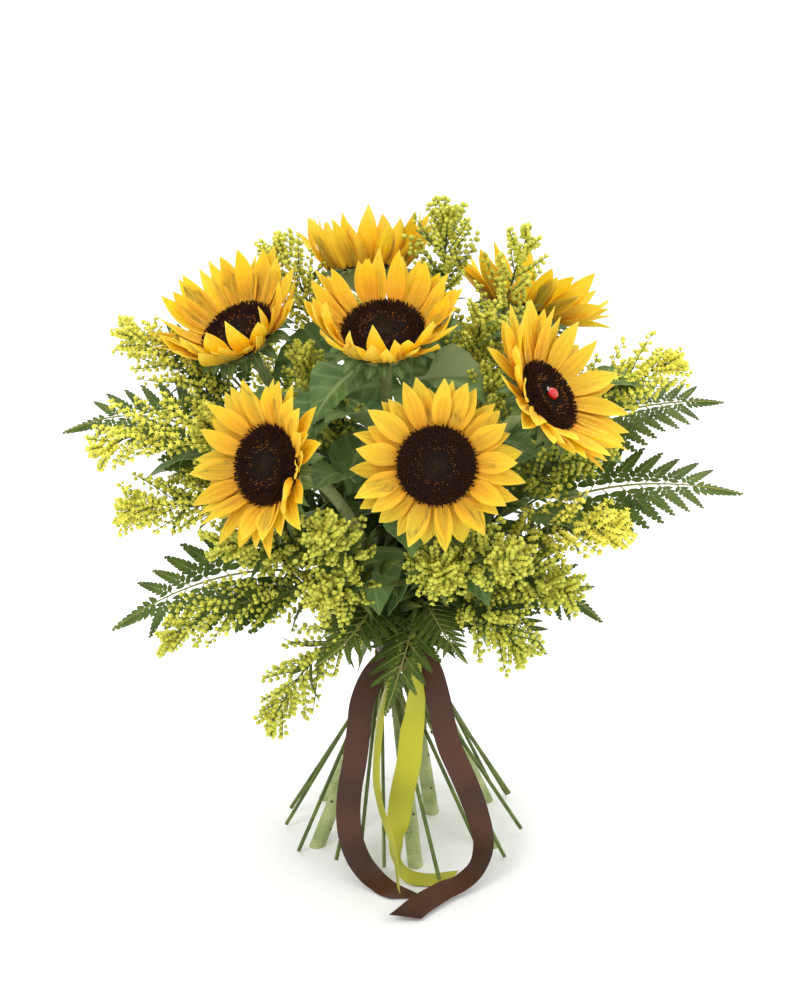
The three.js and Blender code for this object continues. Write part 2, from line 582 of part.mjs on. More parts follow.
function fernFrond(plant, place, path, isFree) {
  const stations = frondStations(plant, place, path);
  const points = [];
  const triangles = [];
  const rings = stations.map(({ middle, across, face, half }) => (
    [[1, 1], [-1, 1], [-1, -1], [1, -1]].map(([a, b]) => {
      points.push(middle.clone().addScaledVector(across, half * a).addScaledVector(face, half * b));
      return points.length - 1;
    })
  ));
  quad(triangles, rings[0][0], rings[0][3], rings[0][2], rings[0][1]);
  for (let row = 0; row < rings.length - 1; row++) {
    const [low, high] = [rings[row], rings[row + 1]];
    quad(triangles, low[0], low[1], high[1], high[0]);
    quad(triangles, low[2], low[3], high[3], high[2]);
    const sides = [[low[0], high[0], high[3], low[3]], [high[1], low[1], low[2], high[2]]];
    const pinna = row - FROND.rows;
    sides.forEach((root, side) => {
      const bears = pinna >= 0 && pinna < 2 * FROND.pairs && pinna % 2 === side;
      const leaflet = bears && leafletRows(plant, stations[row], stations[row + 1], pinna, side ? -1 : 1);
      if (leaflet && isFree(bladeAlone(root.map((k) => points[k]), leaflet))) {
        growBlade(points, triangles, root, leaflet.rows, leaflet.tip);
      } else quad(triangles, ...root);
    });
  }
  const last = stations[stations.length - 1];
  const rest = FROND.end * plant.frond;
  const end = FROND_END.map(([share, half]) => ({
    middle: last.middle.clone().addScaledVector(last.along, rest * share),
    across: last.across, face: last.face, half, thick: FROND.thick,
  }));
  growBlade(points, triangles, rings[rings.length - 1], end, path.getPointAt(1));
  return solidOf(points, triangles);
}

const fern = (plant, place, path) => ({
  core: fernFrond(plant, place, path, () => false),
  finish: (isFree) => fernFrond(plant, place, path, isFree),
});

// A strip of ribbon through points, each with the way that its face looks. Its two faces are split
// into triangles alike, so that they stay apart where it twists.
const RIBBON = { width: 19, thick: 0.8 };

function ribbonStrip(stations, rows) {
  const path = new THREE.CatmullRomCurve3(stations.map(({ at }) => vec(...at)), false, "centripetal");
  const points = [];
  const triangles = [];
  const rings = [];
  for (let row = 0; row <= rows; row++) {
    const share = row / rows;
    const place = share * (stations.length - 1);
    const low = Math.min(Math.floor(place), stations.length - 2);
    const along = path.getTangent(share);
    const face = vec(...stations[low].face).lerp(vec(...stations[low + 1].face), place - low);
    face.addScaledVector(along, -face.dot(along)).normalize();
    const across = face.clone().cross(along);
    const middle = path.getPoint(share);
    const ring = [[1, 1], [-1, 1], [-1, -1], [1, -1]].map(([a, b]) => {
      points.push(middle.clone()
        .addScaledVector(across, (a * RIBBON.width) / 2)
        .addScaledVector(face, (b * RIBBON.thick) / 2));
      return points.length - 1;
    });
    rings.push(ring);
  }
  for (let row = 1; row <= rows; row++) joinStrip(triangles, rings[row - 1], rings[row]);
  const [first, last] = [rings[0], rings[rows]];
  quad(triangles, first[0], first[3], first[2], first[1]);
  quad(triangles, ...last);
  return solidOf(points, triangles);
}

// A closed band round the bundle, from its outline in radius and height.
function band(outline, sides) {
  const profile = outline.map(([radius, height]) => new THREE.Vector2(radius, height));
  const lathe = new THREE.LatheGeometry([...profile, profile[0]], sides);
  lathe.rotateX(90 * DEGREE);
  return solidOfGeometry(lathe);
}

// The bands round the bundle, which widens above and below the waist, and the ribbons' knots.
const TWINE = { inner: 22.1, groove: 23.3, outer: 23.9, low: 150, high: 156, turns: 3, sides: 12 };
const BROWN_BAND = { innerLow: 21.6, innerHigh: 23.3, thick: 1, low: 157, high: 173, knotTurn: 5 };
const LIME_BAND = { innerLow: 23.4, innerHigh: 29.8, thick: 1, low: 174, high: 189, knotTurn: 3 };
const BAND_SIDES = 14;
const KNOT = { width: 18, depth: 4, sunk: 0.6, inset: 2 };

function twine() {
  const { inner, groove, outer, low, high, turns, sides } = TWINE;
  const step = (high - low) / turns;
  const outline = [[inner, low]];
  for (let k = 0; k < turns; k++) {
    outline.push([groove, low + k * step], [outer, low + (k + 0.5) * step]);
  }
  return band([...outline, [groove, high], [inner, high]], sides);
}

function ribbonBand({ innerLow, innerHigh, thick, low, high, knotTurn }) {
  const outline = [[innerLow, low], [innerLow + thick, low], [innerHigh + thick, high], [innerHigh, high]];
  const knot = new THREE.BoxGeometry(KNOT.width, KNOT.depth, high - low - 2 * KNOT.inset);
  const radius = (innerLow + innerHigh) / 2 + thick + KNOT.depth / 2 - KNOT.sunk;
  knot.translate(0, -radius, (low + high) / 2);
  knot.rotateZ(knotTurn * DEGREE);
  return band(outline, BAND_SIDES).add(solidOfGeometry(knot));
}

// The ribbons' tails, from the knot to the floor.
const BROWN_LEFT = [
  { at: [-8, -28, 167], face: [-0.1, -1, 0] },
  { at: [-24, -36, 152], face: [-0.2, -1, 0.1] },
  { at: [-33, -46, 134], face: [-0.1, -1, 0.3] },
  { at: [-36, -54, 112], face: [-0.1, -1, 0.3] },
  { at: [-39, -61, 90], face: [-0.1, -1, 0.3] },
  { at: [-43, -68, 68], face: [0, -1, 0.3] },
  { at: [-44, -75, 48], face: [0, -1, 0.3] },
  { at: [-41, -83, 30], face: [0.1, -0.8, 0.6] },
  { at: [-32, -92, 14], face: [0.1, -0.6, 0.9] },
  { at: [-16, -103, 3], face: [0, -0.2, 1] },
  { at: [2, -117, 1.3], face: [0, 0, 1] },
];
const BROWN_RIGHT = [
  { at: [12, -26.6, 167], face: [0.1, -1, 0] },
  { at: [20, -35, 154], face: [0.1, -1, 0.2] },
  { at: [25, -43, 139], face: [0.1, -1, 0.3] },
  { at: [34, -57, 103], face: [0.1, -1, 0.3] },
  { at: [43, -63, 83], face: [0, -1, 0.3] },
  { at: [51, -69, 65], face: [-0.1, -1, 0.2] },
  { at: [58, -77, 46], face: [-0.4, -0.9, 0.3] },
  { at: [61, -84, 30], face: [-0.6, -0.7, 0.5] },
  { at: [57, -92, 16], face: [-0.6, -0.4, 0.8] },
  { at: [46, -102, 7], face: [-0.3, -0.1, 1] },
  { at: [30, -115, 4.6], face: [0, 0, 1] },
  { at: [14, -133, 3.2], face: [0, 0, 1] },
  { at: [-1, -151, 1.1], face: [0, 0, 1] },
];
const LIME_WIDE = [
  { at: [7, -40.8, 183], face: [0.95, -0.2, 0.1] },
  { at: [9, -48, 160], face: [0.9, -0.4, 0] },
  { at: [8, -55, 134], face: [0.6, -0.8, 0.1] },
  { at: [5, -57, 110], face: [0.2, -1, 0.1] },
  { at: [3, -62, 90], face: [0, -1, 0.2] },
  { at: [-2, -68, 66], face: [-0.2, -1, 0.2] },
  { at: [-5, -74, 46], face: [-0.5, -0.9, 0.2] },
  { at: [-7, -79, 28], face: [-0.9, -0.5, 0.2] },
  { at: [-5, -84, 12], face: [-0.7, -0.3, 0.6] },
  { at: [3, -88, 3.6], face: [-0.2, -0.1, 1] },
  { at: [18, -90, 1.5], face: [0, 0, 1] },
  { at: [38, -86, 1.1], face: [0, 0, 1] },
];
const LIME_NARROW = [
  { at: [-3, -40.8, 183], face: [-0.95, -0.1, 0.1] },
  { at: [-10, -48, 160], face: [-1, -0.1, 0.1] },
  { at: [-17, -56, 136], face: [-1, -0.1, 0.1] },
  { at: [-20, -62, 118], face: [-1, -0.1, 0.1] },
  { at: [-22, -78, 84], face: [-1, 0, 0.1] },
  { at: [-19, -87, 66], face: [-1, 0.1, 0] },
  { at: [-13, -97, 50], face: [-1, 0.1, 0] },
  { at: [-8, -108, 36], face: [-1, 0.1, 0] },
  { at: [-5, -127, 15], face: [-1, 0, 0] },
];

// The painted ladybird on the right-hand bloom: a domed back and a head, lying on the disc.
const LADYBIRD = { length: 10.5, width: 8.6, height: 4.6, head: 2.1, headLift: 0.6, above: 3.9, turn: 35 };

function ladybird(bloom) {
  const { length, width, height, head, headLift, above, turn } = LADYBIRD;
  const frame = bloomFrame(bloom);
  const back = new THREE.SphereGeometry(0.5, 8, 6);
  back.scale(width, length, 2 * height);
  const face = new THREE.SphereGeometry(head, 6, 4);
  face.translate(0, length / 2, headLift);
  const turned = new THREE.Matrix4().makeBasis(frame.right, frame.up, frame.out)
    .multiply(new THREE.Matrix4().makeRotationZ(turn * DEGREE));
  turned.setPosition(bloomPoint(frame, 0, 0, above));
  const whole = solidOfGeometry(back).add(solidOfGeometry(face)).trimByPlane([0, 0, 1], 0);
  return whole.transform(turned.elements);
}

// Whether a solid keeps its clearance to each of the others.
function boxesMeet(a, b) {
  const [p, q] = [a.boundingBox(), b.boundingBox()];
  return [0, 1, 2].every((i) => p.min[i] <= q.max[i] + CLEARANCE && q.min[i] <= p.max[i] + CLEARANCE);
}

const isClear = (solid, others) => others.every((other) => (
  !boxesMeet(solid, other) || solid.minGap(other, 2 * CLEARANCE) >= CLEARANCE
));

// Everything in the bunch: its name, its colour, the solid core and what may be joined to it.
const pieces = [];
const addPiece = (name, colour, core, finish) => pieces.push({ name, colour, core, finish });

function addPlants(kind, plants, grow) {
  plants.forEach((plant, place) => {
    const { core, finish } = grow(plant, place + 1, thinPath(plant));
    addPiece(`${kind}_${plant.name}`, kind, core, finish);
  });
}

for (const bloom of BLOOMS) {
  addPiece(`sunflower_${bloom.name}_petals`, "petal", petalRing(bloom));
  addPiece(`sunflower_${bloom.name}_disc`, "disc", disc(bloom));
  const { core, finish } = bloomStem(bloom);
  addPiece(`sunflower_${bloom.name}_stem`, "leaf", core, finish);
}
addPiece("ladybird", "ladybird", ladybird(BLOOMS.find(({ name }) => name === "right")));
addPiece("binding_twine", "twine", twine());
addPiece("brown_ribbon_band", "brown", ribbonBand(BROWN_BAND));
addPiece("brown_ribbon_tail_left", "brown", ribbonStrip(BROWN_LEFT, 14));
addPiece("brown_ribbon_tail_right", "brown", ribbonStrip(BROWN_RIGHT, 16));
addPiece("lime_ribbon_band", "lime", ribbonBand(LIME_BAND));
addPiece("lime_ribbon_tail_wide", "lime", ribbonStrip(LIME_WIDE, 15));
addPiece("lime_ribbon_tail_narrow", "lime", ribbonStrip(LIME_NARROW, 12));
placeThinStems([...GOLDENROD, ...FERNS]);
addPlants("goldenrod", GOLDENROD, goldenrod);
addPlants("fern", FERNS, fern);

// Leaves, branches and leaflets are joined on only where they keep clear of every other piece.
for (const piece of pieces.filter(({ finish }) => finish)) {
  const others = pieces.filter((other) => other !== piece).map(({ core }) => core);
  piece.core = piece.finish((solid) => isClear(solid, others));
}

// A solid as a three.js geometry.
function geometryOf(solid) {
  const { vertProperties, triVerts, numProp } = solid.getMesh();
  const geometry = new THREE.BufferGeometry();
  const interleaved = new THREE.InterleavedBuffer(vertProperties, numProp);
  geometry.setAttribute("position", new THREE.InterleavedBufferAttribute(interleaved, 3, 0));
  geometry.setIndex(new THREE.BufferAttribute(triVerts, 1));
  return geometry;
}

const bunch = new THREE.Group();
bunch.position.copy(BUNCH_MIDDLE).negate();
for (const { name, colour, core } of pieces) {
  const material = new THREE.MeshStandardMaterial({ metalness: 0, ...COLOURS[colour] });
  const mesh = new THREE.Mesh(geometryOf(core), material);
  mesh.name = name;
  bunch.add(mesh);
}

export default bunch;
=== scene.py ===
"""The bunch of sunflowers: blooms, goldenrod, leather fern, ribbons and the floor it stands on.

Shapes are worked out in millimetres from the axis of the bundle and put into the meshes in metres.
"""
import math

import bpy
import numpy as np
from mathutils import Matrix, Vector


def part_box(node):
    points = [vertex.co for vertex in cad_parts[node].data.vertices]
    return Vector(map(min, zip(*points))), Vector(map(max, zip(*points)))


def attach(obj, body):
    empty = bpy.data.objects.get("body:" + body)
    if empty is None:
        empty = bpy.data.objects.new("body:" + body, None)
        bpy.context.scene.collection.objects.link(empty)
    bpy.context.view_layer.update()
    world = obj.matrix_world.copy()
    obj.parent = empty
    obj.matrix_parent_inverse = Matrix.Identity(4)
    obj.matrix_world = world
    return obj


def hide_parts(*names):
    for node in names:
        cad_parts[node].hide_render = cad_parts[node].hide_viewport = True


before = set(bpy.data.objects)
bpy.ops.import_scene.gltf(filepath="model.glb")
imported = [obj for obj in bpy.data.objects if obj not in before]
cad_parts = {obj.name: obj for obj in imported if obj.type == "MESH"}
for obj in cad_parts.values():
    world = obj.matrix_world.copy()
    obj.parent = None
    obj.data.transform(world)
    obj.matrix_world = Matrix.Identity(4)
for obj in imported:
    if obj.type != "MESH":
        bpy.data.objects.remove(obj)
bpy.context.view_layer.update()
MILLIMETRE = 0.001
waist_low, waist_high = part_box("binding_twine")
AXIS = np.array([(waist_low.x + waist_high.x) / 2, (waist_low.y + waist_high.y) / 2, 0]) / MILLIMETRE
UP = np.array([0.0, 0.0, 1.0])
TURN = 2 * math.pi
SHARP_ANGLE = math.radians(50)


def chance(seed, places):
    """A number from 0 to 1 for each place: the fraction of a large sine of seed and place."""
    wave = np.sin(seed * 127.1 + np.asarray(places, float) * 311.7) * 43758.5453
    return wave - np.floor(wave)


def sway(seed, places):
    """The same chance, from -1 to 1."""
    return 2 * chance(seed, places) - 1


def unit(vectors):
    """Vectors divided by their lengths."""
    length = np.linalg.norm(vectors, axis=-1, keepdims=True)
    return vectors / np.maximum(length, 1e-9)


def turned(vectors, axes, angles):
    """Vectors turned round unit axes: v cos a + (k x v) sin a + k (k.v)(1 - cos a)."""
    angles = np.asarray(angles, float)[..., None]
    along = np.sum(vectors * axes, axis=-1, keepdims=True)
    return (vectors * np.cos(angles) + np.cross(axes, vectors) * np.sin(angles)
            + axes * along * (1 - np.cos(angles)))


class Pile:
    """Collects the surfaces of one piece: points, faces, a UV place and marks for each point."""

    def __init__(self):
        self.points, self.uvs, self.tones, self.kinds = [], [], [], []
        self.faces = []
        self.count = 0

    def add(self, points, faces, uv=None, tone=0.5, kind=0.0):
        """Adds N copies of a surface. points is (N, P, 3), and faces (F, corners) index P points."""
        points = np.asarray(points, float)
        if points.ndim == 2:
            points = points[None]
        copies, size = points.shape[:2]
        if uv is None:
            uv = np.zeros((size, 2))
        uv = np.broadcast_to(uv, (copies, size, 2))
        tone = np.asarray(tone, float)
        tone = tone.reshape(tone.shape + (1,) * (2 - tone.ndim))
        kind = np.asarray(kind, float)
        kind = kind.reshape((1,) * (2 - kind.ndim) + kind.shape)
        self.points.append(points.reshape(-1, 3))
        self.uvs.append(uv.reshape(-1, 2))
        self.tones.append(np.broadcast_to(tone, (copies, size)).reshape(-1))
        self.kinds.append(np.broadcast_to(kind, (copies, size)).reshape(-1))
        starts = self.count + size * np.arange(copies)
        for group in faces:
            group = np.asarray(group)
            self.faces.append((starts[:, None, None] + group[None]).reshape(-1, group.shape[1]))
        self.count += copies * size

    def piece(self, name, material, slot, nodes=()):
        """Makes the mesh in metres, smooth with sharp edges past an angle, riding on the root."""
        mesh = bpy.data.meshes.new(name)
        points = (np.concatenate(self.points) + AXIS) * MILLIMETRE
        corners = [face for group in self.faces for face in group.tolist()]
        mesh.from_pydata(points, [], corners)
        loops = np.zeros(len(mesh.loops), np.int32)
        mesh.loops.foreach_get("vertex_index", loops)
        layer = mesh.uv_layers.new(name="UVMap")
        layer.data.foreach_set("uv", np.concatenate(self.uvs)[loops].astype(np.float32).ravel())
        for label, values in (("tone", self.tones), ("kind", self.kinds)):
            attribute = mesh.attributes.new(label, "FLOAT", "POINT")
            attribute.data.foreach_set("value", np.concatenate(values).astype(np.float32))
        mesh.polygons.foreach_set("use_smooth", np.ones(len(mesh.polygons), bool))
        mesh.set_sharp_from_angle(angle=SHARP_ANGLE)
        mesh.materials.append(material)
        obj = bpy.data.objects.new(name, mesh)
        bpy.context.scene.collection.objects.link(obj)
        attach(obj, "root")
        if nodes:
            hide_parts(*nodes)
        return obj


def grid_quads(rows, columns):
    """The quads of a grid of points, row by row."""
    row, column = np.meshgrid(np.arange(rows - 1), np.arange(columns - 1), indexing="ij")
    first = (row * columns + column).ravel()
    return np.stack([first, first + 1, first + columns + 1, first + columns], axis=1)


def sheet_faces(rows, columns):
    """Two facing grids of the same size, the second turned over, joined all round their rim."""
    size = rows * columns
    top = grid_quads(rows, columns)[:, ::-1]
    bottom = top[:, ::-1] + size
    low = np.arange(columns)
    high = low + (rows - 1) * columns
    left = np.arange(rows) * columns
    right = left + columns - 1
    rim = np.concatenate([low, right[1:], high[::-1][1:], left[::-1][1:]])
    near, far = rim[:-1], rim[1:]
    return [top, bottom, np.stack([near, far, far + size, near + size], axis=1)]


def sheets(middle, across, face, half, shape, columns, thick, edge=None):
    """Thin closed blades: middle + across * s * half + face * shape, s from -1 to 1, and the same
    again a thickness below. middle, across and face are (N, R, 3), half is (N, R), shape and edge,
    a factor on the width, are (N, R, C). Gives the points (N, 2RC, 3) and their UV places."""
    side = np.linspace(-1, 1, columns)
    copies, rows = half.shape
    width = half[..., None] * side
    if edge is not None:
        width = width * edge
    skin = (middle[:, :, None] + across[:, :, None] * width[..., None]
            + face[:, :, None] * shape[..., None])
    down = face[:, :, None] * (thick / 2)
    points = np.concatenate([skin + down, skin - down], axis=1).reshape(copies, -1, 3)
    v, u = np.meshgrid(np.linspace(0, 1, rows), (side + 1) / 2, indexing="ij")
    uv = np.stack([u.ravel(), v.ravel()], axis=1)
    return points, np.concatenate([uv, uv])


def along_path(path, shares):
    """Points and unit tangents at shares of the length of a densely sampled path."""
    steps = np.linalg.norm(np.diff(path, axis=0), axis=1)
    length = np.concatenate([[0], np.cumsum(steps)])
    at = np.asarray(shares, float) * length[-1]
    points = np.stack([np.interp(at, length, path[:, k]) for k in range(3)], axis=-1)
    tangent = unit(np.gradient(path, length, axis=0))
    tangents = np.stack([np.interp(at, length, tangent[:, k]) for k in range(3)], axis=-1)
    return points, unit(tangents), length[-1]


def carried(tangents):
    """Normals carried along rows of tangents (N, M, 3) with as little twist as can be."""
    first = tangents[:, 0]
    lead = np.where(np.abs(first[:, 2:3]) > 0.9, np.array([1.0, 0, 0]), UP)
    normal = unit(lead - first * np.sum(lead * first, axis=-1, keepdims=True))
    normals = [normal]
    for row in range(1, tangents.shape[1]):
        along = tangents[:, row]
        normal = unit(normal - along * np.sum(normal * along, axis=-1, keepdims=True))
        normals.append(normal)
    return np.stack(normals, axis=1)


def barrel_faces(rows, sides):
    """The faces of rings of points that follow each other: quads between them, and triangles to the
    two points after them, which are in the middle of the first ring and of the last."""
    row, side = np.meshgrid(np.arange(rows - 1), np.arange(sides), indexing="ij")
    after = (side + 1) % sides
    low, high = row * sides, (row + 1) * sides
    quads = np.stack([low + side, low + after, high + after, high + side], axis=-1).reshape(-1, 4)
    side = np.arange(sides)
    after = (side + 1) % sides
    last, middle = (rows - 1) * sides, rows * sides
    caps = np.concatenate([
        np.stack([after, side, np.full(sides, middle)], axis=1),
        np.stack([last + side, last + after, np.full(sides, middle + 1)], axis=1)])
    return [quads, caps]


def turned_over(faces):
    """The quads and triangles of a barrel, facing the other way."""
    quads, caps = faces
    return [quads[:, [0, 3, 2, 1]], caps[:, [1, 0, 2]]]


def tubes(centres, radii, sides, ripple=None):
    """Closed round rods: centre + radius (n cos a + b sin a) along (N, M, 3) centres, with a point
    at the middle of each end. Gives points, faces and UV places."""
    copies, rows = centres.shape[:2]
    tangents = unit(np.gradient(centres, axis=1))
    normals = carried(tangents)
    binormals = np.cross(tangents, normals)
    angle = TURN * np.arange(sides) / sides
    radius = np.broadcast_to(radii, (copies, rows))[..., None]
    if ripple is not None:
        radius = radius * ripple
    ring = (normals[:, :, None] * np.cos(angle)[:, None] + binormals[:, :, None]
            * np.sin(angle)[:, None])
    skin = centres[:, :, None] + ring * (radius * np.ones(sides))[..., None]
    points = np.concatenate([skin.reshape(copies, -1, 3), centres[:, :1], centres[:, -1:]], axis=1)
    v, u = np.meshgrid(np.linspace(0, 1, rows), np.arange(sides) / sides, indexing="ij")
    uv = np.concatenate([np.stack([u.ravel(), v.ravel()], axis=1), [[0.5, 0], [0.5, 1]]])
    return points, barrel_faces(rows, sides), uv


def bead(rings, sides, top=1.0):
    """A closed bead: rings of a radius at a height, between a point at 0 and a point at the top."""
    angle = TURN * np.arange(sides) / sides
    circle = np.stack([np.cos(angle), np.sin(angle), np.zeros(sides)], axis=1)
    points = [np.zeros((1, 3))]
    points += [radius * circle + np.array([0, 0, height]) for radius, height in rings]
    points.append(np.array([[0, 0, top]]))
    side = np.arange(sides)
    after = (side + 1) % sides
    low = 1 + sides * np.arange(len(rings) - 1)[:, None]
    quads = np.stack([low + side, low + after, low + sides + after, low + sides + side], axis=-1)
    last = 1 + (len(rings) - 1) * sides
    ends = np.concatenate([
        np.stack([np.zeros(sides, int), 1 + after, 1 + side], axis=1),
        np.stack([last + side, last + after, np.full(sides, last + sides)], axis=1)])
    return np.concatenate(points), [ends, quads.reshape(-1, 4)]


def placed(template, origins, normals, binormals, tangents, widths, lengths):
    """Copies of a template of points, its z laid along each tangent: o + w (x n + y b) + l z t."""
    widths = np.broadcast_to(widths, origins.shape[:1])[:, None, None]
    lengths = np.broadcast_to(lengths, origins.shape[:1])[:, None, None]
    x, y, z = (template[None, :, k, None] for k in range(3))
    return (origins[:, None] + widths * (x * normals[:, None] + y * binormals[:, None])
            + lengths * z * tangents[:, None])


# The bundle. Every stem is straight from its foot up through the waist, all leaning one way round.
WAIST_HEIGHT = 160
STRAIGHT_TOP = 192
FLOWER_RING = 11
FLOWER_FOOT_RING = 78
THIN_RING = 18.5
THIN_FOOT_RING = 98
FOOT_TURN = 80
HEAD_TURN = 85
FLOWER_REACH = (0.42, 0.3)
THIN_REACH = (0.4, 0.4)

# Blooms: the middle of the disc, the way it faces, its radius and the length of its petals. The
# petals stand at cup degrees, and by lift more on the side at toward degrees; they bend outwards by
# curl. The stem crosses the waist at slot degrees and stands turn degrees further round, and the
# leaves are given by their place on the stem, direction and length.
BLOOMS = [
    dict(name="front", centre=(22, -135, 365), axis=(0.03, -0.93, 0.36), disc=28, petal=33,
         cup=14, lift=3, toward=90, curl=12, slot=6, turn=80, seed=1,
         leaves=[(0.86, (-0.75, -0.1, 0.25), 62)]),
    dict(name="left", centre=(-99, -114, 357), axis=(-0.65, -0.686, 0.331), disc=29, petal=37,
         cup=36, lift=6, toward=0, curl=8, slot=311, turn=80, seed=2,
         leaves=[(0.84, (-0.5, 0.3, -0.8), 64)]),
    dict(name="top", centre=(-16, -50, 437), axis=(-0.05, -0.43, 0.9), disc=30, petal=42,
         cup=37, lift=9, toward=-90, curl=-42, slot=None, foot=(22, 20), seed=3,
         leaves=[(0.86, (0.95, -0.1, 0.05), 74), (0.80, (-0.45, -0.8, -0.15), 66)]),
    dict(name="upper_left", centre=(-125, 1, 420), axis=(-0.4, -0.36, 0.84), disc=28, petal=43,
         cup=40, lift=8, toward=-70, curl=-30, slot=252, turn=82, seed=4,
         leaves=[(0.84, (-0.2, 0.8, 0.3), 60)]),
    dict(name="right", centre=(103, -79, 397), axis=(0.7, -0.36, 0.62), disc=27, petal=44,
         cup=27, lift=4, toward=200, curl=-10, slot=66, turn=80, seed=15,
         leaves=[(0.82, (0.9, 0.3, 0.35), 58)]),
    dict(name="back_right", centre=(94, 82, 408), axis=(0.36, 0.5, 0.79), disc=28, petal=44,
         cup=44, lift=6, toward=-90, curl=0, slot=126, turn=80, seed=6,
         leaves=[(0.84, (0.1, 0.9, -0.3), 62)]),
    dict(name="back", centre=(-30, 76, 446), axis=(-0.05, 0.42, 0.9), disc=28, petal=43,
         cup=60, lift=6, toward=-90, curl=-20, slot=191, turn=86, stand=66, seed=7,
         leaves=[(0.84, (-0.3, 0.85, -0.3), 62)]),
]

# Thin stems: name, tip, the way it points there, length of plume or frond, height of the cut foot.
GOLDENROD = [
    ("top_right", (94, 20, 496), (0.35, 0, 0.93), 150, 3),
    ("top_slim", (32, 44, 500), (0.05, 0.1, 0.99), 70, 10),
    ("top_left", (-100, 58, 472), (-0.6, 0.2, 0.78), 95, 4),
    ("upper_left", (-213, 0, 421), (-0.85, 0, 0.5), 105, 2),
    ("left", (-229, -60, 344), (-0.8, -0.2, -0.55), 115, 16),
    ("left_low", (-212, -45, 292), (-0.95, -0.2, -0.2), 85, 5),
    ("lower_left", (-184, -84, 203), (-0.85, -0.25, -0.45), 130, 2),
    ("bottom_left", (-102, -108, 145), (-0.45, -0.2, -0.87), 115, 8),
    ("front_left", (-58, -148, 322), (-0.1, -0.75, 0.65), 90, 4),
    ("front_right", (78, -150, 300), (0.4, -0.8, 0.3), 95, 2),
    ("front_low", (88, -118, 208), (0.6, -0.5, -0.62), 85, 24),
    ("right_low", (160, -98, 300), (0.85, -0.45, 0.1), 100, 3),
    ("right", (206, 4, 396), (0.9, 0.05, 0.3), 95, 6),
    ("right_back", (178, 78, 356), (0.8, 0.45, 0.2), 95, 2),
    ("middle_right", (58, -22, 442), (0.2, -0.35, 0.9), 95, 14),
    ("back_right", (70, 172, 352), (0.3, 0.85, 0.3), 100, 4),
    ("back_middle", (-30, 172, 384), (-0.1, 0.8, 0.5), 95, 12),
    ("back_left", (-138, 128, 372), (-0.7, 0.6, 0.3), 100, 3),
]
FERNS = [
    ("right", (256, -24, 299), (0.97, -0.1, -0.2), 155, 116, (0, -0.6, 0.8)),
    ("right_high", (246, 34, 352), (0.95, 0.1, -0.1), 120, 100, (0, -0.55, 0.85)),
    ("right_low", (150, -52, 205), (0.66, -0.2, -0.72), 120, 122, (0.3, -0.7, 0.65)),
    ("front_right", (106, -90, 196), (0.6, -0.4, -0.7), 90, 108, (0.3, -0.7, 0.65)),
    ("front", (-15, -112, 156), (-0.35, -0.55, -0.75), 125, 110, (-0.1, -0.8, 0.6)),
    ("left_low", (-223, -52, 199), (-0.8, -0.15, -0.58), 165, 126, (-0.2, -0.6, 0.75)),
    ("left", (-258, -14, 345), (-0.9, -0.1, -0.42), 135, 112, (0, -0.5, 0.85)),
    ("back_left", (-178, 118, 262), (-0.75, 0.55, -0.35), 140, 104, (-0.3, 0.5, 0.8)),
    ("back", (-40, 204, 262), (-0.1, 0.9, -0.4), 140, 120, (0, 0.6, 0.8)),
    ("back_right", (128, 172, 256), (0.6, 0.7, -0.38), 140, 110, (0.3, 0.5, 0.8)),
]

# A tip's angle round the bundle, and a stem's reach, where they aren't those of the others.
OWN_SIDE = {"goldenrod_top_right": 3}
OWN_REACH = {"goldenrod_bottom_left": (0.4, 0.52)}


def on_ring(radius, degrees, height):
    """A point at a radius and an angle round the axis of the bundle."""
    angle = math.radians(degrees)
    return np.array([radius * math.cos(angle), radius * math.sin(angle), height])


def stem_path(foot, waist, arrive, direction, reach):
    """A straight line from foot through waist, then a cubic curve that arrives along direction."""
    lean = unit(waist - foot)
    top = waist + lean * (STRAIGHT_TOP - WAIST_HEIGHT) / lean[2]
    span = np.linalg.norm(arrive - top)
    line = foot + (top - foot) * np.linspace(0, 1, 60)[:-1, None]
    t = np.linspace(0, 1, 160)[:, None]
    out = top + lean * reach[0] * span
    back = arrive - direction * reach[1] * span
    curve = ((1 - t) ** 3 * top + 3 * (1 - t) ** 2 * t * out + 3 * (1 - t) * t ** 2 * back
             + t ** 3 * arrive)
    return np.concatenate([line, curve])


def thin_stem_slots():
    """Slots evenly round the waist, in the order of the sides that tips lean to, turned as one."""
    plants = [("goldenrod_" + row[0], row[1]) for row in GOLDENROD]
    plants += [("fern_" + row[0], row[1]) for row in FERNS]
    side = {name: math.radians(OWN_SIDE[name]) if name in OWN_SIDE else math.atan2(tip[1], tip[0])
            for name, tip in plants}
    order = sorted(side, key=side.get)
    step = TURN / len(order)
    spare = np.array([side[name] - place * step for place, name in enumerate(order)])
    start = math.atan2(np.sin(spare).sum(), np.cos(spare).sum())
    return {name: math.degrees(start + place * step) + HEAD_TURN
            for place, name in enumerate(order)}


SLOTS = thin_stem_slots()


def thin_path(name, tip, end, cut):
    """The path of a goldenrod or fern stem, from its cut foot to its tip."""
    waist = on_ring(THIN_RING, SLOTS[name], WAIST_HEIGHT)
    floor = on_ring(THIN_FOOT_RING, SLOTS[name] + FOOT_TURN, 0)
    foot = floor + (waist - floor) * cut / WAIST_HEIGHT
    return stem_path(foot, waist, np.array(tip, float), unit(np.array(end, float)),
                     OWN_REACH.get(name, THIN_REACH))


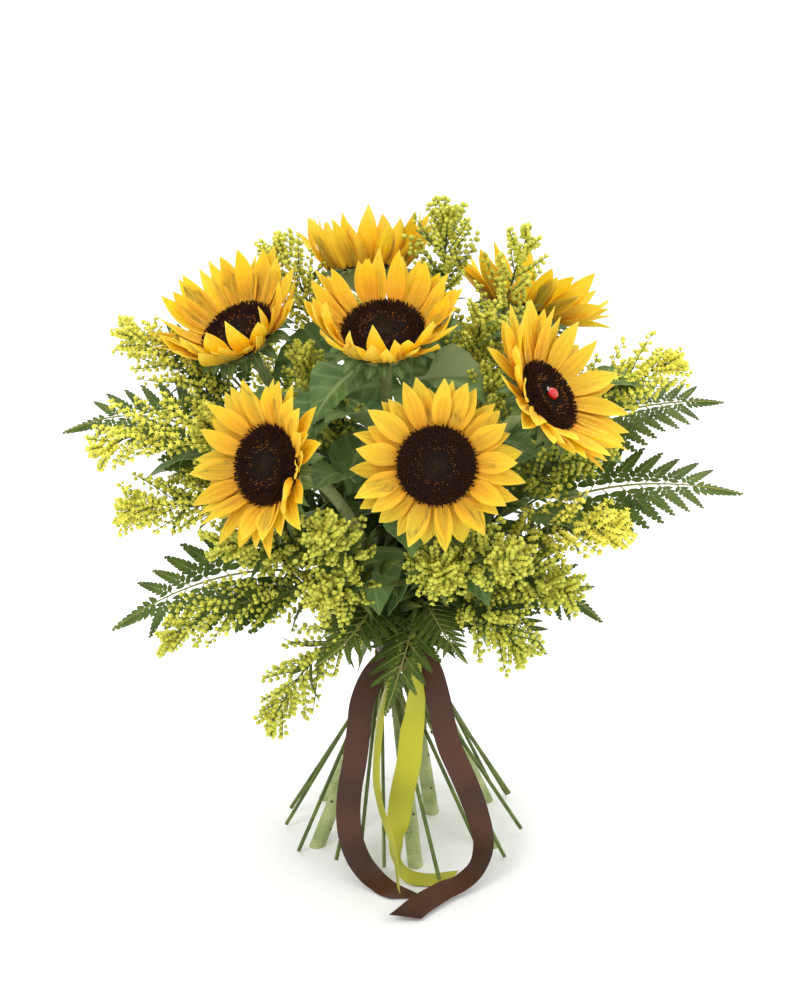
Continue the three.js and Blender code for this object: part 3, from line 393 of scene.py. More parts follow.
class Bloom:
    """A bloom's frame: right and up in the plane of its disc, out along its axis."""

    def __init__(self, row):
        self.__dict__.update(row)
        self.centre = np.array(self.centre, float)
        self.out = unit(np.array(self.axis, float))
        self.up = unit(UP - self.out * (UP @ self.out))
        self.right = np.cross(self.up, self.out)

    def radial(self, angle):
        """The unit vector away from the middle of the disc, at an angle round it."""
        angle = np.asarray(angle, float)[..., None]
        return self.right * np.cos(angle) + self.up * np.sin(angle)

    def cup_at(self, angle):
        """How steeply the petals stand on one side, in degrees."""
        return self.cup + self.lift * np.cos(angle - math.radians(self.toward))

    def point(self, angle, radius, height):
        """A point by its angle, its radius and its height along the axis."""
        return (self.centre + self.radial(angle) * np.asarray(radius, float)[..., None]
                + self.out * np.asarray(height, float)[..., None])


def rising_blades(bloom, angle, start, height, rise, length, curl, rows, sag=0.0):
    """The middle lines of blades round a bloom: each leaves at an angle of rise in radians, which
    falls by curl along its length: r' = cos(rise - curl v), h' = sin(rise - curl v)."""
    v = np.linspace(0, 1, rows)
    bend = rise[:, None] - curl[:, None] * v
    step = length[:, None] / (rows - 1)
    run = np.cumsum(np.concatenate([np.zeros((len(angle), 1)), np.cos(bend[:, 1:]) * step], 1), 1)
    climb = np.cumsum(np.concatenate([np.zeros((len(angle), 1)), np.sin(bend[:, 1:]) * step], 1), 1)
    radial = bloom.radial(angle)[:, None]
    across = np.cross(bloom.out, radial)
    middle = (bloom.centre + radial * (start + run)[..., None]
              + bloom.out * (height + climb)[..., None] + across * (sag * v ** 2)[..., None])
    face = bloom.out * np.cos(bend)[..., None] - radial * np.sin(bend)[..., None]
    return middle, np.broadcast_to(across, middle.shape), face


# Ray petals: channelled, grooved lengthwise, swaying to one side and twisted a little to the tip.
PETALS = 40
PETAL_LAYERS = 3
LAYER_DROP = 7
LAYER_GAP = 1.1
PETAL_ROWS = 11
PETAL_COLUMNS = 11
PETAL_WIDTH = 7.4
PETAL_BELLY = 0.42
PETAL_THICKNESS = 0.3


def petal_relief(v, width, seed):
    """How far a petal's skin stands off its middle: a channel s^2, ridges cos 3 pi s and a ruffle
    along the edges that runs as sin 9 v."""
    k = np.arange(PETALS)
    s = np.linspace(-1, 1, PETAL_COLUMNS)
    channel = (2.2 + 1.9 * sway(seed + 2.1, k))[:, None, None] * s ** 2 * width[:, None]
    ridges = 0.75 * np.cos(3 * math.pi * s) * np.sin(math.pi * np.minimum(v + 0.12, 1))[:, None]
    wave = 0.55 * np.sin(9 * v[:, None] + 6 * chance(seed + 2.4, k)[:, None, None]) * s ** 2
    ruffle = 0.5 * np.sin(math.pi * v)[:, None] * wave * np.sign(s)
    return channel + ridges + ruffle


def petals(bloom):
    """Layers of petals, each set lower and flatter than the one before it. Half width is
    1 - 0.5 (1 - v/b)^2 up to the belly b, then (1 - w^2)^1.05 over the share w of what is left."""
    k = np.arange(PETALS)
    seed = bloom.seed
    layer = k % PETAL_LAYERS
    angle = TURN * (k + 0.5 + 0.75 * sway(seed, k)) / PETALS
    drop = LAYER_DROP * layer + 8 * sway(seed + 0.3, k)
    rise = np.radians(bloom.cup_at(angle) - drop)
    length = bloom.petal * (1 + 0.13 * sway(seed + 0.6, k))
    curl = np.radians(bloom.curl + 26 * sway(seed + 0.9, k))
    sag = (0.09 * length * sway(seed + 1.2, k))[:, None]
    middle, across, face = rising_blades(
        bloom, angle, bloom.disc - 0.5, -0.5 - LAYER_GAP * layer[:, None], rise, length, curl,
        PETAL_ROWS, sag)
    v = np.linspace(0, 1, PETAL_ROWS)
    along = unit(np.gradient(middle, axis=1))
    twist = np.radians(46 * sway(seed + 1.5, k))[:, None] * v
    across = turned(across, along, twist)
    face = turned(face, along, twist)
    beyond = np.maximum((v - PETAL_BELLY) / (1 - PETAL_BELLY), 0)
    width = np.where(v < PETAL_BELLY, 1 - 0.5 * (1 - v / PETAL_BELLY) ** 2,
                     (1 - beyond ** 2) ** 1.05 + 0.02)
    half = PETAL_WIDTH * (1 + 0.16 * sway(seed + 1.8, k))[:, None] * width
    points, uv = sheets(middle, across, face, half, petal_relief(v, width, seed), PETAL_COLUMNS,
                        PETAL_THICKNESS)
    lower = np.repeat([0.0, 1.0], PETAL_ROWS * PETAL_COLUMNS)
    pile = Pile()
    pile.add(points, sheet_faces(PETAL_ROWS, PETAL_COLUMNS), uv, chance(seed + 2.7, k), lower)
    return pile


# The disc: a dome packed with florets in the order that a sunflower grows them.
FLORETS = 680
GOLDEN_ANGLE = math.pi * (3 - math.sqrt(5))
DISC_PROFILE = ((0, 0.34, 0.6, 0.84, 1), (1.9, 2.6, 3.6, 3.3, 0.8))
DISC_ROWS = 9
DISC_SIDES = 40
DISC_UNDERSIDE = -3.0
FLORET = bead([(0.42, 0.15), (0.5, 0.62), (0.36, 0.86)], 4)


def disc_dome(pile, bloom):
    """A surface of revolution over the profile of the disc, flat underneath."""
    share = np.linspace(0.04, 1, DISC_ROWS)
    height = np.interp(share, *DISC_PROFILE)
    angle = TURN * np.arange(DISC_SIDES) / DISC_SIDES
    rings = bloom.point(np.tile(angle, DISC_ROWS), np.repeat(share * bloom.disc, DISC_SIDES),
                        np.repeat(height, DISC_SIDES))
    under = bloom.point(angle, np.full(DISC_SIDES, bloom.disc),
                        np.full(DISC_SIDES, DISC_UNDERSIDE))
    ends = bloom.point(np.zeros(2), np.zeros(2), np.array([height[0], DISC_UNDERSIDE]))
    faces = turned_over(barrel_faces(DISC_ROWS + 1, DISC_SIDES))
    kinds = np.concatenate([np.repeat(share, DISC_SIDES), np.ones(DISC_SIDES), [0, 1]])
    pile.add(np.concatenate([rings, under, ends]), faces, None, 0.1, kinds)


def disc(bloom):
    """Floret n stands on the dome at radius sqrt(n/N), n golden angles round, and leans outwards by
    the cube of its radius. kind is the share of the radius, plus 2 on the golden tips."""
    pile = Pile()
    disc_dome(pile, bloom)
    n = np.arange(FLORETS)
    share = np.sqrt((n + 0.5) / FLORETS)
    angle = n * GOLDEN_ANGLE
    seed = bloom.seed * 3
    outer = np.clip((share - 0.55) / 0.2, 0, 1)
    golden = (np.abs(share - 0.5) < 0.11) & (chance(seed, n) < 0.36)
    length = 1.5 + 2.3 * outer + 0.5 * sway(seed + 1, n) + 0.5 * golden
    width = 1.5 - 0.25 * outer + 0.2 * sway(seed + 2, n) - 0.8 * golden
    base = bloom.point(angle, share * bloom.disc, np.interp(share, *DISC_PROFILE) - 0.3)
    radial = bloom.radial(angle)
    side = np.cross(bloom.out, radial)
    lean = (0.75 * share ** 3)[:, None] * radial
    shake = 0.28 * (radial * sway(seed + 3, n)[:, None] + side * sway(seed + 4, n)[:, None])
    tangent = unit(bloom.out + lean + shake * (0.3 + outer)[:, None])
    normal = unit(np.cross(side, tangent))
    template, faces = FLORET
    points = placed(template, base, normal, np.cross(tangent, normal), tangent, width, length)
    kind = share[:, None] + np.where(golden[:, None], 2 * (template[:, 2] > 0.5), 0)
    pile.add(points, faces, None, chance(seed + 5, n), kind)
    return pile


# Heart-shaped leaves: half width, as a share of the length, at shares of the length.
LEAF_SHARES = (0, 0.2, 0.24, 0.3, 0.36, 0.44, 0.56, 0.7, 0.82, 0.92, 0.98, 1)
LEAF_HALVES = (0.026, 0.02, 0.06, 0.24, 0.345, 0.375, 0.33, 0.235, 0.14, 0.058, 0.014, 0.006)
LEAF_ROWS = 22
LEAF_COLUMNS = 11
LEAF_THICKNESS = 0.45


def add_wide_leaf(pile, start, direction, length, seed, tone, roll=0):
    """A heart-shaped leaf on a stalk. Its middle line climbs by 0.5 - 1.5 v, its half width follows
    the profile with fine teeth, and the blade folds along its midrib and waves at its edge. It may
    be rolled round its middle line by some degrees."""
    heading = unit(np.array(direction, float))
    side = unit(np.cross(UP, heading))
    v = np.linspace(0, 1, LEAF_ROWS)
    way = unit(heading + UP * (0.5 - 1.5 * v)[:, None])
    step = way * length / (LEAF_ROWS - 1)
    middle = np.array(start, float) + np.concatenate([np.zeros((1, 3)), np.cumsum(step[1:], 0)])
    half = length * np.interp(v, LEAF_SHARES, LEAF_HALVES)
    s = np.linspace(-1, 1, LEAF_COLUMNS)
    teeth = 1 + 0.05 * np.sin(v * 60)[:, None] * np.abs(s) ** 6
    tilt = math.radians(roll) + 0.3 * sway(seed, 1) * v
    across = turned(np.broadcast_to(side, (LEAF_ROWS, 3)), way, tilt)
    face = np.cross(way, across)
    fold = half[:, None] * 0.2 * np.abs(s) ** 1.3
    wave = half[:, None] * 0.14 * np.sin(8.5 * v + 5 * chance(seed, 2))[:, None] * s ** 2
    veins = -0.25 * np.cos(TURN * (v[:, None] * 6 - 1.2 * np.abs(s))) * (half > 3)[:, None]
    shape = (fold + wave + veins * (1 - np.abs(s)))[None]
    points, uv = sheets(middle[None], across[None], face[None], half[None], shape, LEAF_COLUMNS,
                        LEAF_THICKNESS, teeth[None])
    kinds = np.repeat([1.0, 2.0], LEAF_ROWS * LEAF_COLUMNS)
    pile.add(points, sheet_faces(LEAF_ROWS, LEAF_COLUMNS), uv, tone, kinds)


# Flower stems, with the cup and the bracts under the bloom.
STEM_ROWS = 70
STEM_SIDES = 14
STEM_RADII = (6, 4.9, 4.2)
STEM_END = 17.5
CUP_SIDES = 30
CUP_HEIGHTS = np.array([-3.6, -4.4, -5.6, -8, -12, -16, -19, -20.6])
CUP_SHARES = np.array([0.93, 1.06, 1.05, 0.93, 0.66, 0.4, 0.24, 0.17])
BRACTS = 24
BRACT_ROWS = 9
BRACT_COLUMNS = 5
BRACT_LENGTH = 15
BRACT_WIDTH = 4.6
BRACT_THICKNESS = 0.5
INNER_LEAVES = 6
LEAF_SCARS = 12
SCAR_TURN = 2.3
SCAR_OUT = 5
SCAR_WIDTH = 2.75
SCAR_HEIGHT = 1.65
SCAR = bead([(0.5, 0.1), (0.42, 0.7)], 6, top=0.9)


def flower_stem_ends(bloom):
    """Where a flower stem stands on the floor and where it crosses the waist."""
    if bloom.slot is None:
        return np.array([*bloom.foot, 0.0]), np.array([0.0, 0, WAIST_HEIGHT])
    stand = getattr(bloom, "stand", FLOWER_FOOT_RING)
    return (on_ring(stand, bloom.slot + bloom.turn, 0),
            on_ring(FLOWER_RING, bloom.slot, WAIST_HEIGHT))


def add_flower_rod(pile, path, foot, waist):
    """A rod whose radius runs evenly between those at the foot, the waist and the top, with five
    soft ribs 1 + 0.035 cos 5a. Its lowest points slide along it to the floor, where it is cut."""
    shares = np.linspace(0, 1, STEM_ROWS)
    centres, tangents, length = along_path(path, shares)
    at_waist = np.linalg.norm(waist - foot) / length
    radius = np.interp(shares, [0, at_waist, 1], STEM_RADII)
    ribs = 1 + 0.035 * np.cos(5 * TURN * np.arange(STEM_SIDES) / STEM_SIDES)
    points, faces, uv = tubes(centres[None], radius[None], STEM_SIDES, ribs)
    low = points[0, :STEM_SIDES]
    slide = (low[:, 2] / tangents[0, 2])[:, None] * tangents[0]
    points[0, :STEM_SIDES] = low - slide
    middle = STEM_ROWS * STEM_SIDES
    points[0, middle] = foot
    kinds = np.zeros(points.shape[1])
    kinds[middle] = 4
    pile.add(points, faces, uv, 0.5, kinds)


def add_cup(pile, bloom):
    """The cup that holds the disc: a surface of revolution whose radius is a share of the disc's."""
    rows = len(CUP_HEIGHTS)
    angle = TURN * np.arange(CUP_SIDES) / CUP_SIDES
    rings = bloom.point(np.tile(angle, rows), np.repeat(bloom.disc * CUP_SHARES, CUP_SIDES),
                        np.repeat(CUP_HEIGHTS, CUP_SIDES))
    ends = bloom.point(np.zeros(2), np.zeros(2), CUP_HEIGHTS[[0, -1]])
    faces = turned_over(barrel_faces(rows, CUP_SIDES))
    pile.add(np.concatenate([rings, ends]), faces, None, 0.4, 0.0)


def add_bracts(pile, bloom):
    """Two layers of pointed blades that curl back, each a soft channel s^2. Half width is
    sqrt(sin pi (0.2 + 0.8 v)) (1 - v^2.5)."""
    k = np.arange(BRACTS)
    layer = k % 2
    angle = TURN * (k + 0.5 + 0.2 * sway(bloom.seed, k)) / BRACTS
    drop = 21 + 10 * chance(bloom.seed + 4, k) + 9 * layer
    rise = np.radians(0.6 * bloom.cup_at(angle) - drop + 14)
    curl = np.radians(30 + 50 * chance(bloom.seed + 5, k))
    length = BRACT_LENGTH * (1 + 0.2 * sway(bloom.seed + 6, k))
    middle, across, face = rising_blades(bloom, angle, bloom.disc, -4.2 - 1.6 * layer[:, None],
                                         rise, length, curl, BRACT_ROWS)
    v = np.linspace(0, 1, BRACT_ROWS)
    rounded = np.sqrt(np.sin(math.pi * np.clip(0.2 + 0.8 * v, 0, 1)))
    half = BRACT_WIDTH * rounded * (1 - v ** 2.5) + 0.12
    s = np.linspace(-1, 1, BRACT_COLUMNS)
    points, uv = sheets(middle, across, face, np.broadcast_to(half, (BRACTS, BRACT_ROWS)),
                        np.broadcast_to(0.9 * s ** 2, (BRACTS, BRACT_ROWS, BRACT_COLUMNS)),
                        BRACT_COLUMNS, BRACT_THICKNESS)
    kinds = np.repeat([1.0, 2.0], BRACT_ROWS * BRACT_COLUMNS)
    pile.add(points, sheet_faces(BRACT_ROWS, BRACT_COLUMNS), uv, chance(bloom.seed + 7, k), kinds)


def add_leaf_scars(pile, path, seed):
    """Stubs where leaves were stripped from the lower stem, each some radians further round."""
    k = np.arange(LEAF_SCARS)
    shares = 0.03 + 0.3 * (k + 0.5 * chance(seed, k)) / LEAF_SCARS
    centres, tangents, _ = along_path(path, shares)
    outward = turned(carried(tangents[None])[0], tangents, k * SCAR_TURN + seed)
    template, faces = SCAR
    points = placed(template, centres + outward * SCAR_OUT, tangents,
                    np.cross(outward, tangents), unit(outward + 0.4 * tangents), SCAR_WIDTH,
                    SCAR_HEIGHT)
    pile.add(points, faces, None, chance(seed, k), 3.0)


def bloom_stem(bloom):
    """The stem with its cup, bracts and leaves. kind is 0 on the stem and the cup, 1 on the upper
    side of blades, 2 on their under side, 3 on leaf scars and 4 at the cut."""
    pile = Pile()
    foot, waist = flower_stem_ends(bloom)
    path = stem_path(foot, waist, bloom.centre - bloom.out * STEM_END, bloom.out, FLOWER_REACH)
    add_flower_rod(pile, path, foot, waist)
    add_cup(pile, bloom)
    add_bracts(pile, bloom)
    inner = [(0.46 + 0.07 * n, bloom.radial(2.4 * n + bloom.seed) * 0.8 + UP * 0.2, 58 + 3 * n)
             for n in range(INNER_LEAVES)]
    for place, (at, direction, size) in enumerate(bloom.leaves + inner):
        start = along_path(path, [at])[0][0]
        add_wide_leaf(pile, start, direction, size, bloom.seed + place,
                      chance(bloom.seed, 50 + place))
    add_leaf_scars(pile, path, bloom.seed)
    return pile


# Goldenrod: a panicle of curved branchlets set with buds, lance leaves under it and down its stem.
BRANCHLETS = 31
BRANCHLET_ROWS = 5
BUDS = 15
BUD = bead([(0.42, 0.2), (0.5, 0.6)], 5)
LANCE_LEAVES = 30
LANCE_ROWS = 6
LANCE_COLUMNS = 3
LANCE_THICKNESS = 0.25


def star(rays):
    """An open floret: a point below, a ring of points that are far and near by turns, and a point
    in its middle."""
    angle = math.pi * np.arange(2 * rays) / rays
    radius = np.where(np.arange(2 * rays) % 2 == 0, 0.66, 0.26)
    ring = np.stack([radius * np.cos(angle), radius * np.sin(angle), 0.72 + radius * 0.4], axis=1)
    side = np.arange(2 * rays)
    after = (side + 1) % (2 * rays)
    low = np.stack([np.zeros(2 * rays, int), 1 + after, 1 + side], axis=1)
    high = np.stack([1 + side, 1 + after, np.full(2 * rays, 1 + 2 * rays)], axis=1)
    return np.concatenate([[[0, 0, 0]], ring, [[0, 0, 0.74]]]), [np.concatenate([low, high])]


STAR = star(5)

# Width and length of a bud and of an open floret.
BUD_SIZE = (3.6, 4.1)
STAR_SIZE = (4.3, 3.6)

# The share of the buds that are open, where it isn't a quarter.
USUAL_OPENNESS = 0.25
SIDE_OPENNESS = 0.06
OPENNESS = {"bottom_left": 0.05, "lower_left": 0.15, "front_left": 0, "front_right": 0.05,
            "front_low": 0.03, "top_slim": 0.05, "top_right": 0.2, "right_low": 0.8, "right": 0.6,
            "upper_left": 0.45, "left": 0.55, "left_low": 0.5}


def lance_leaves(origins, tangents, outward, length, width, seed):
    """Lance-shaped leaves: half width sqrt(sin pi v) (1 - v^3), bending away from the stem."""
    k = np.arange(len(origins))
    v = np.linspace(0, 1, LANCE_ROWS)
    bend = (0.35 + 0.25 * chance(seed, k))[:, None] + 0.9 * v
    step = length[:, None] / (LANCE_ROWS - 1)
    foot = np.zeros((len(origins), 1))
    run = np.cumsum(np.concatenate([foot, np.sin(bend[:, 1:]) * step], 1), 1)
    climb = np.cumsum(np.concatenate([foot, np.cos(bend[:, 1:]) * step], 1), 1)
    side = np.cross(tangents, outward)
    sag = (0.16 * length * sway(seed + 1, k))[:, None] * v ** 2
    middle = (origins[:, None] + outward[:, None] * run[..., None] + tangents[:, None]
              * climb[..., None] + side[:, None] * sag[..., None])
    face = outward[:, None] * np.cos(bend)[..., None] - tangents[:, None] * np.sin(bend)[..., None]
    along = unit(np.gradient(middle, axis=1))
    twist = (0.9 * sway(seed + 2, k))[:, None] * v
    across = turned(np.broadcast_to(side[:, None], middle.shape), along, twist)
    face = turned(face, along, twist)
    rounded = np.sqrt(np.sin(math.pi * np.clip(v * 0.9 + 0.06, 0, 1)))
    half = width[:, None] * (rounded * (1 - v ** 3) + 0.03) / 2
    fold = half[..., None] * 0.35 * np.abs(np.linspace(-1, 1, LANCE_COLUMNS))
    points, uv = sheets(middle, across, face, half, fold, LANCE_COLUMNS, LANCE_THICKNESS)
    return points, sheet_faces(LANCE_ROWS, LANCE_COLUMNS), uv


def branchlets(path, start, seed):
    """Branchlet k leaves the plume at its share of the length, turned by golden angles, and curves
    towards the tip. Gives the points along each, and the way of the stem at its foot."""
    k = np.arange(BRANCHLETS)
    part = (k + 0.5 * chance(seed, k)) / BRANCHLETS
    origins, along, _ = along_path(path, start + (1 - start) * (0.96 * part))
    outward = turned(carried(along[None])[0], along, k * GOLDEN_ANGLE + seed)
    reach = 28 * np.sin(math.pi * (0.3 + 0.62 * part)) * (1 + 0.3 * sway(seed + 1, k)) + 5
    forward = 0.75 + 0.35 * part + 0.2 * sway(seed + 2, k)
    t = np.linspace(0, 1, BRANCHLET_ROWS)
    drift = reach[:, None] * t
    lift = 0.22 * reach[:, None] * t ** 2
    arms = (origins[:, None] + unit(outward + along * forward[:, None])[:, None] * drift[..., None]
            + along[:, None] * lift[..., None])
    return arms, along


def add_buds(pile, arms, along, openness, seed):
    """Bud m sits at a share 0.2 + 0.8 (m + 0.5)/M of its branchlet, 2.1 radians further round it
    than the one before, and leans outwards and up. The buds that are open are stars."""
    k = np.arange(BRANCHLETS)
    m = np.arange(BUDS)
    step = (0.2 + 0.8 * (m + 0.5) / BUDS) * (BRANCHLET_ROWS - 1)
    low = np.minimum(step.astype(int), BRANCHLET_ROWS - 2)
    mix = (step - low)[:, None]
    centre = arms[:, low] * (1 - mix) + arms[:, low + 1] * mix
    way = unit(arms[:, low + 1] - arms[:, low])
    side = unit(np.cross(way, along[:, None]))
    lifted = np.cross(side, way)
    around = 2.1 * m + 6 * chance(seed + 3, k)[:, None]
    lean = side * np.cos(around)[..., None] + lifted * np.sin(around)[..., None]
    number = k[:, None] * BUDS + m
    spread = (1.9 - 1.1 * (m == BUDS - 1)) + 0.6 * sway(seed + 4, number)
    tangent = unit(lean * 0.8 + way * 0.75 + UP * 0.35).reshape(-1, 3)
    origin = (centre + lean * spread[..., None]).reshape(-1, 3) - tangent * 1.2
    normal = unit(np.cross(tangent, np.array([0.3, 0.5, 0.8])))
    binormal = np.cross(tangent, normal)
    size = (1 + 0.22 * sway(seed + 5, number)).ravel()
    tone = chance(seed + 6, number).ravel()
    opened = chance(seed + 12, number).ravel() < openness
    for chosen, (template, faces), (width, length) in ((~opened, BUD, BUD_SIZE),
                                                       (opened, STAR, STAR_SIZE)):
        points = placed(template, origin[chosen], normal[chosen], binormal[chosen],
                        tangent[chosen], width * size[chosen], length * size[chosen])
        kind = 1 + np.clip((0.3 + 0.6 * openness) * (0.3 + 0.7 * template[:, 2]), 0, 1)
        pile.add(points, faces, None, tone[chosen], kind)


def goldenrod(pile, path, plume, stem_from, openness, seed):
    """A thin stem with its branchlets, buds and lance leaves. kind is 0 on green parts, and 1 to 2
    on buds, rising with how far open they are."""
    shares = np.linspace(0, 1, 60)
    centres, _, length = along_path(path, shares)
    start = 1 - plume / length
    thin = np.interp(shares, [0, start, 1], [1.6, 1.4, 0.5])
    pile.add(*tubes(centres[None], thin[None], 6), tone=0.4, kind=0.0)
    arms, along = branchlets(path, start, seed)
    points, faces, uv = tubes(arms, np.linspace(0.6, 0.3, BRANCHLET_ROWS)[None], 3)
    pile.add(points, faces, uv, 0.55, 0.0)
    add_buds(pile, arms, along, openness, seed)
    lowest = max(0.0, (STRAIGHT_TOP - stem_from) / length * 0.96)
    highest = start + 0.55 * (1 - start)
    k = np.arange(LANCE_LEAVES)
    at = lowest + (highest - lowest) * (k + chance(seed + 7, k)) / LANCE_LEAVES
    origins, along, _ = along_path(path, at)
    outward = turned(carried(along[None])[0], along, k * GOLDEN_ANGLE + seed * 2)
    size = 27 + 22 * (1 - k / LANCE_LEAVES) + 7 * sway(seed + 8, k)
    points, faces, uv = lance_leaves(origins, along, outward, size,
                                     9.5 + 2.5 * sway(seed + 9, k), seed + 10)
    pile.add(points, faces, uv, chance(seed + 11, k), 0.0)


# Side sprays that fill the bunch between the blooms: tip, the way it points there, plume length.
SIDE_SPRAYS = {
    "front": [((-78, -22, 412), (-0.3, -0.2, 0.9), 95), ((64, -52, 402), (0.3, -0.3, 0.9), 90),
              ((-170, -24, 318), (-0.9, -0.1, 0.2), 90),
              ((-152, -62, 372), (-0.7, -0.3, 0.5), 90), ((-140, -98, 288), (-0.7, -0.4, 0.1), 90),
              ((-62, -134, 262), (-0.3, -0.8, 0.2), 85), ((28, -142, 282), (0.1, -0.9, 0.2), 80),
              ((122, -112, 256), (0.6, -0.6, 0), 85), ((152, -44, 352), (0.8, -0.2, 0.4), 90)],
    "back": [((62, 132, 332), (0.3, 0.8, 0.3), 90), ((-92, 118, 330), (-0.5, 0.7, 0.3), 90),
             ((0, 152, 300), (0, 0.9, 0.1), 85), ((148, 88, 290), (0.7, 0.5, 0.1), 85)],
}


def side_path(tip, end):
    """A cubic curve from inside the bundle to the tip, rising first."""
    tip = np.array(tip, float)
    base = np.array([tip[0] * 0.15, tip[1] * 0.15, 200.0])
    span = np.linalg.norm(tip - base)
    t = np.linspace(0, 1, 120)[:, None]
    out = base + unit(np.array([tip[0], tip[1], 240.0])) * 0.4 * span
    back = tip - unit(np.array(end, float)) * 0.4 * span
    return ((1 - t) ** 3 * base + 3 * (1 - t) ** 2 * t * out + 3 * (1 - t) * t ** 2 * back
            + t ** 3 * tip)


# Leaves that fill the dark middle of the bunch: start, direction and length.
FILLER_LEAVES = [
    ((-46, -34, 392), (-0.5, -0.6, -0.5), 60), ((-20, -46, 348), (-0.35, -0.4, 0.6), 74),
    ((48, -56, 345), (0.6, -0.4, 0.35), 64), ((-36, -70, 326), (-0.4, -0.6, 0.4), 60),
    ((-118, -34, 322), (-0.8, -0.1, 0.35), 66), ((104, -26, 326), (0.8, -0.2, 0.3), 66),
    ((-84, -52, 300), (-0.8, -0.4, 0.1), 66), ((84, -52, 292), (0.8, -0.4, 0.1), 64),
    ((0, -86, 300), (0.1, -0.9, 0.1), 50), ((30, -62, 262), (0.5, -0.7, -0.1), 62),
    ((-28, -62, 256), (-0.5, -0.7, -0.1), 62), ((10, -48, 396), (0.8, -0.4, 0.1), 60),
    ((-60, 40, 330), (-0.6, 0.6, 0.2), 66), ((52, 52, 322), (0.6, 0.6, 0.2), 66),
    ((0, 70, 300), (0.1, 0.9, 0.1), 62), ((-96, 12, 280), (-0.9, 0.3, 0.1), 64),
    ((-22, -38, 408), (-0.7, -0.4, -0.4), 70), ((4, -44, 402), (0.2, -0.8, -0.5), 58),
    ((-96, -20, 384), (-0.3, -0.5, -0.3), 60), ((-140, -10, 300), (-0.8, 0, 0.3), 66),
    ((44, -20, 404), (0.5, 0, 0.4), 60), ((128, -6, 360), (0.6, 0, 0.5), 60),
    ((96, 24, 270), (0.9, 0.3, 0.1), 64), ((20, 44, 380), (0.4, 0.5, 0.5), 60),
]

# Leaves that stand with their faces to the front: start, direction, length and roll in degrees.
FACING_LEAVES = [
    ((2, -50, 398), (0.95, -0.1, 0), 68, -112), ((-26, 6, 380), (1, 0, 0.05), 88, 64),
    ((50, 10, 354), (1, 0, 0.1), 80, 64), ((10, 14, 366), (-1, 0, 0.1), 78, -62),
    ((60, 24, 312), (1, 0, 0.1), 76, 60), ((-34, 18, 388), (-1, 0, 0.1), 74, -64),
]


# Leather fern: a rachis with leaflets to both sides, each cut to its rib into toothed lobes.
LEAFLET_PAIRS = 8
LEAFLET_ROWS = 9
FROND_END = 0.27
LOBES = 8
LOBE_WIDTHS = np.array([0.45, 1.0, 0.82, 0.08])
LOBE_COLUMNS = 3
LOBE_THICKNESS = 0.22
FERN_SEED = 60


def leaflets(path, frond, start, look, place):
    """Where each leaflet starts, its way, side and face, and its span, which falls as
    0.43 (1 - 0.55 u) along the frond. The last leaflet goes on along the stalk."""
    pair = np.repeat(np.arange(LEAFLET_PAIRS), 2)
    sign = np.tile([1.0, -1.0], LEAFLET_PAIRS)
    share = (pair + 0.35 + 0.3 * (sign > 0)) / LEAFLET_PAIRS
    root, along, _ = along_path(path, start + (1 - start) * (1 - FROND_END) * share)
    twist = 0.3 * sway(place, 0) * share
    across = turned(unit(np.cross(np.array(look, float), along)), along, twist)
    face = np.cross(along, across)
    uneven = 1 + 0.06 * sway(FERN_SEED + place, np.arange(len(pair)))
    span = frond * 0.43 * (1 - 0.55 * share) * uneven * np.minimum(1, 0.75 + 2.2 * share)
    lean = np.radians(58 - 14 * share)[:, None]
    way = along * np.cos(lean) + across * sign[:, None] * np.sin(lean)
    outward = unit(np.cross(face, way)) * -sign[:, None]
    last, _, _ = along_path(path, [start + (1 - start) * (1 - FROND_END)])
    tip, _, _ = along_path(path, [1.0])
    return (np.concatenate([root, last]), np.concatenate([way, unit(tip - last)]),
            np.concatenate([outward, across[-1:]]), np.concatenate([face, face[-1:]]),
            np.append(span, FROND_END * frond * 1.02))


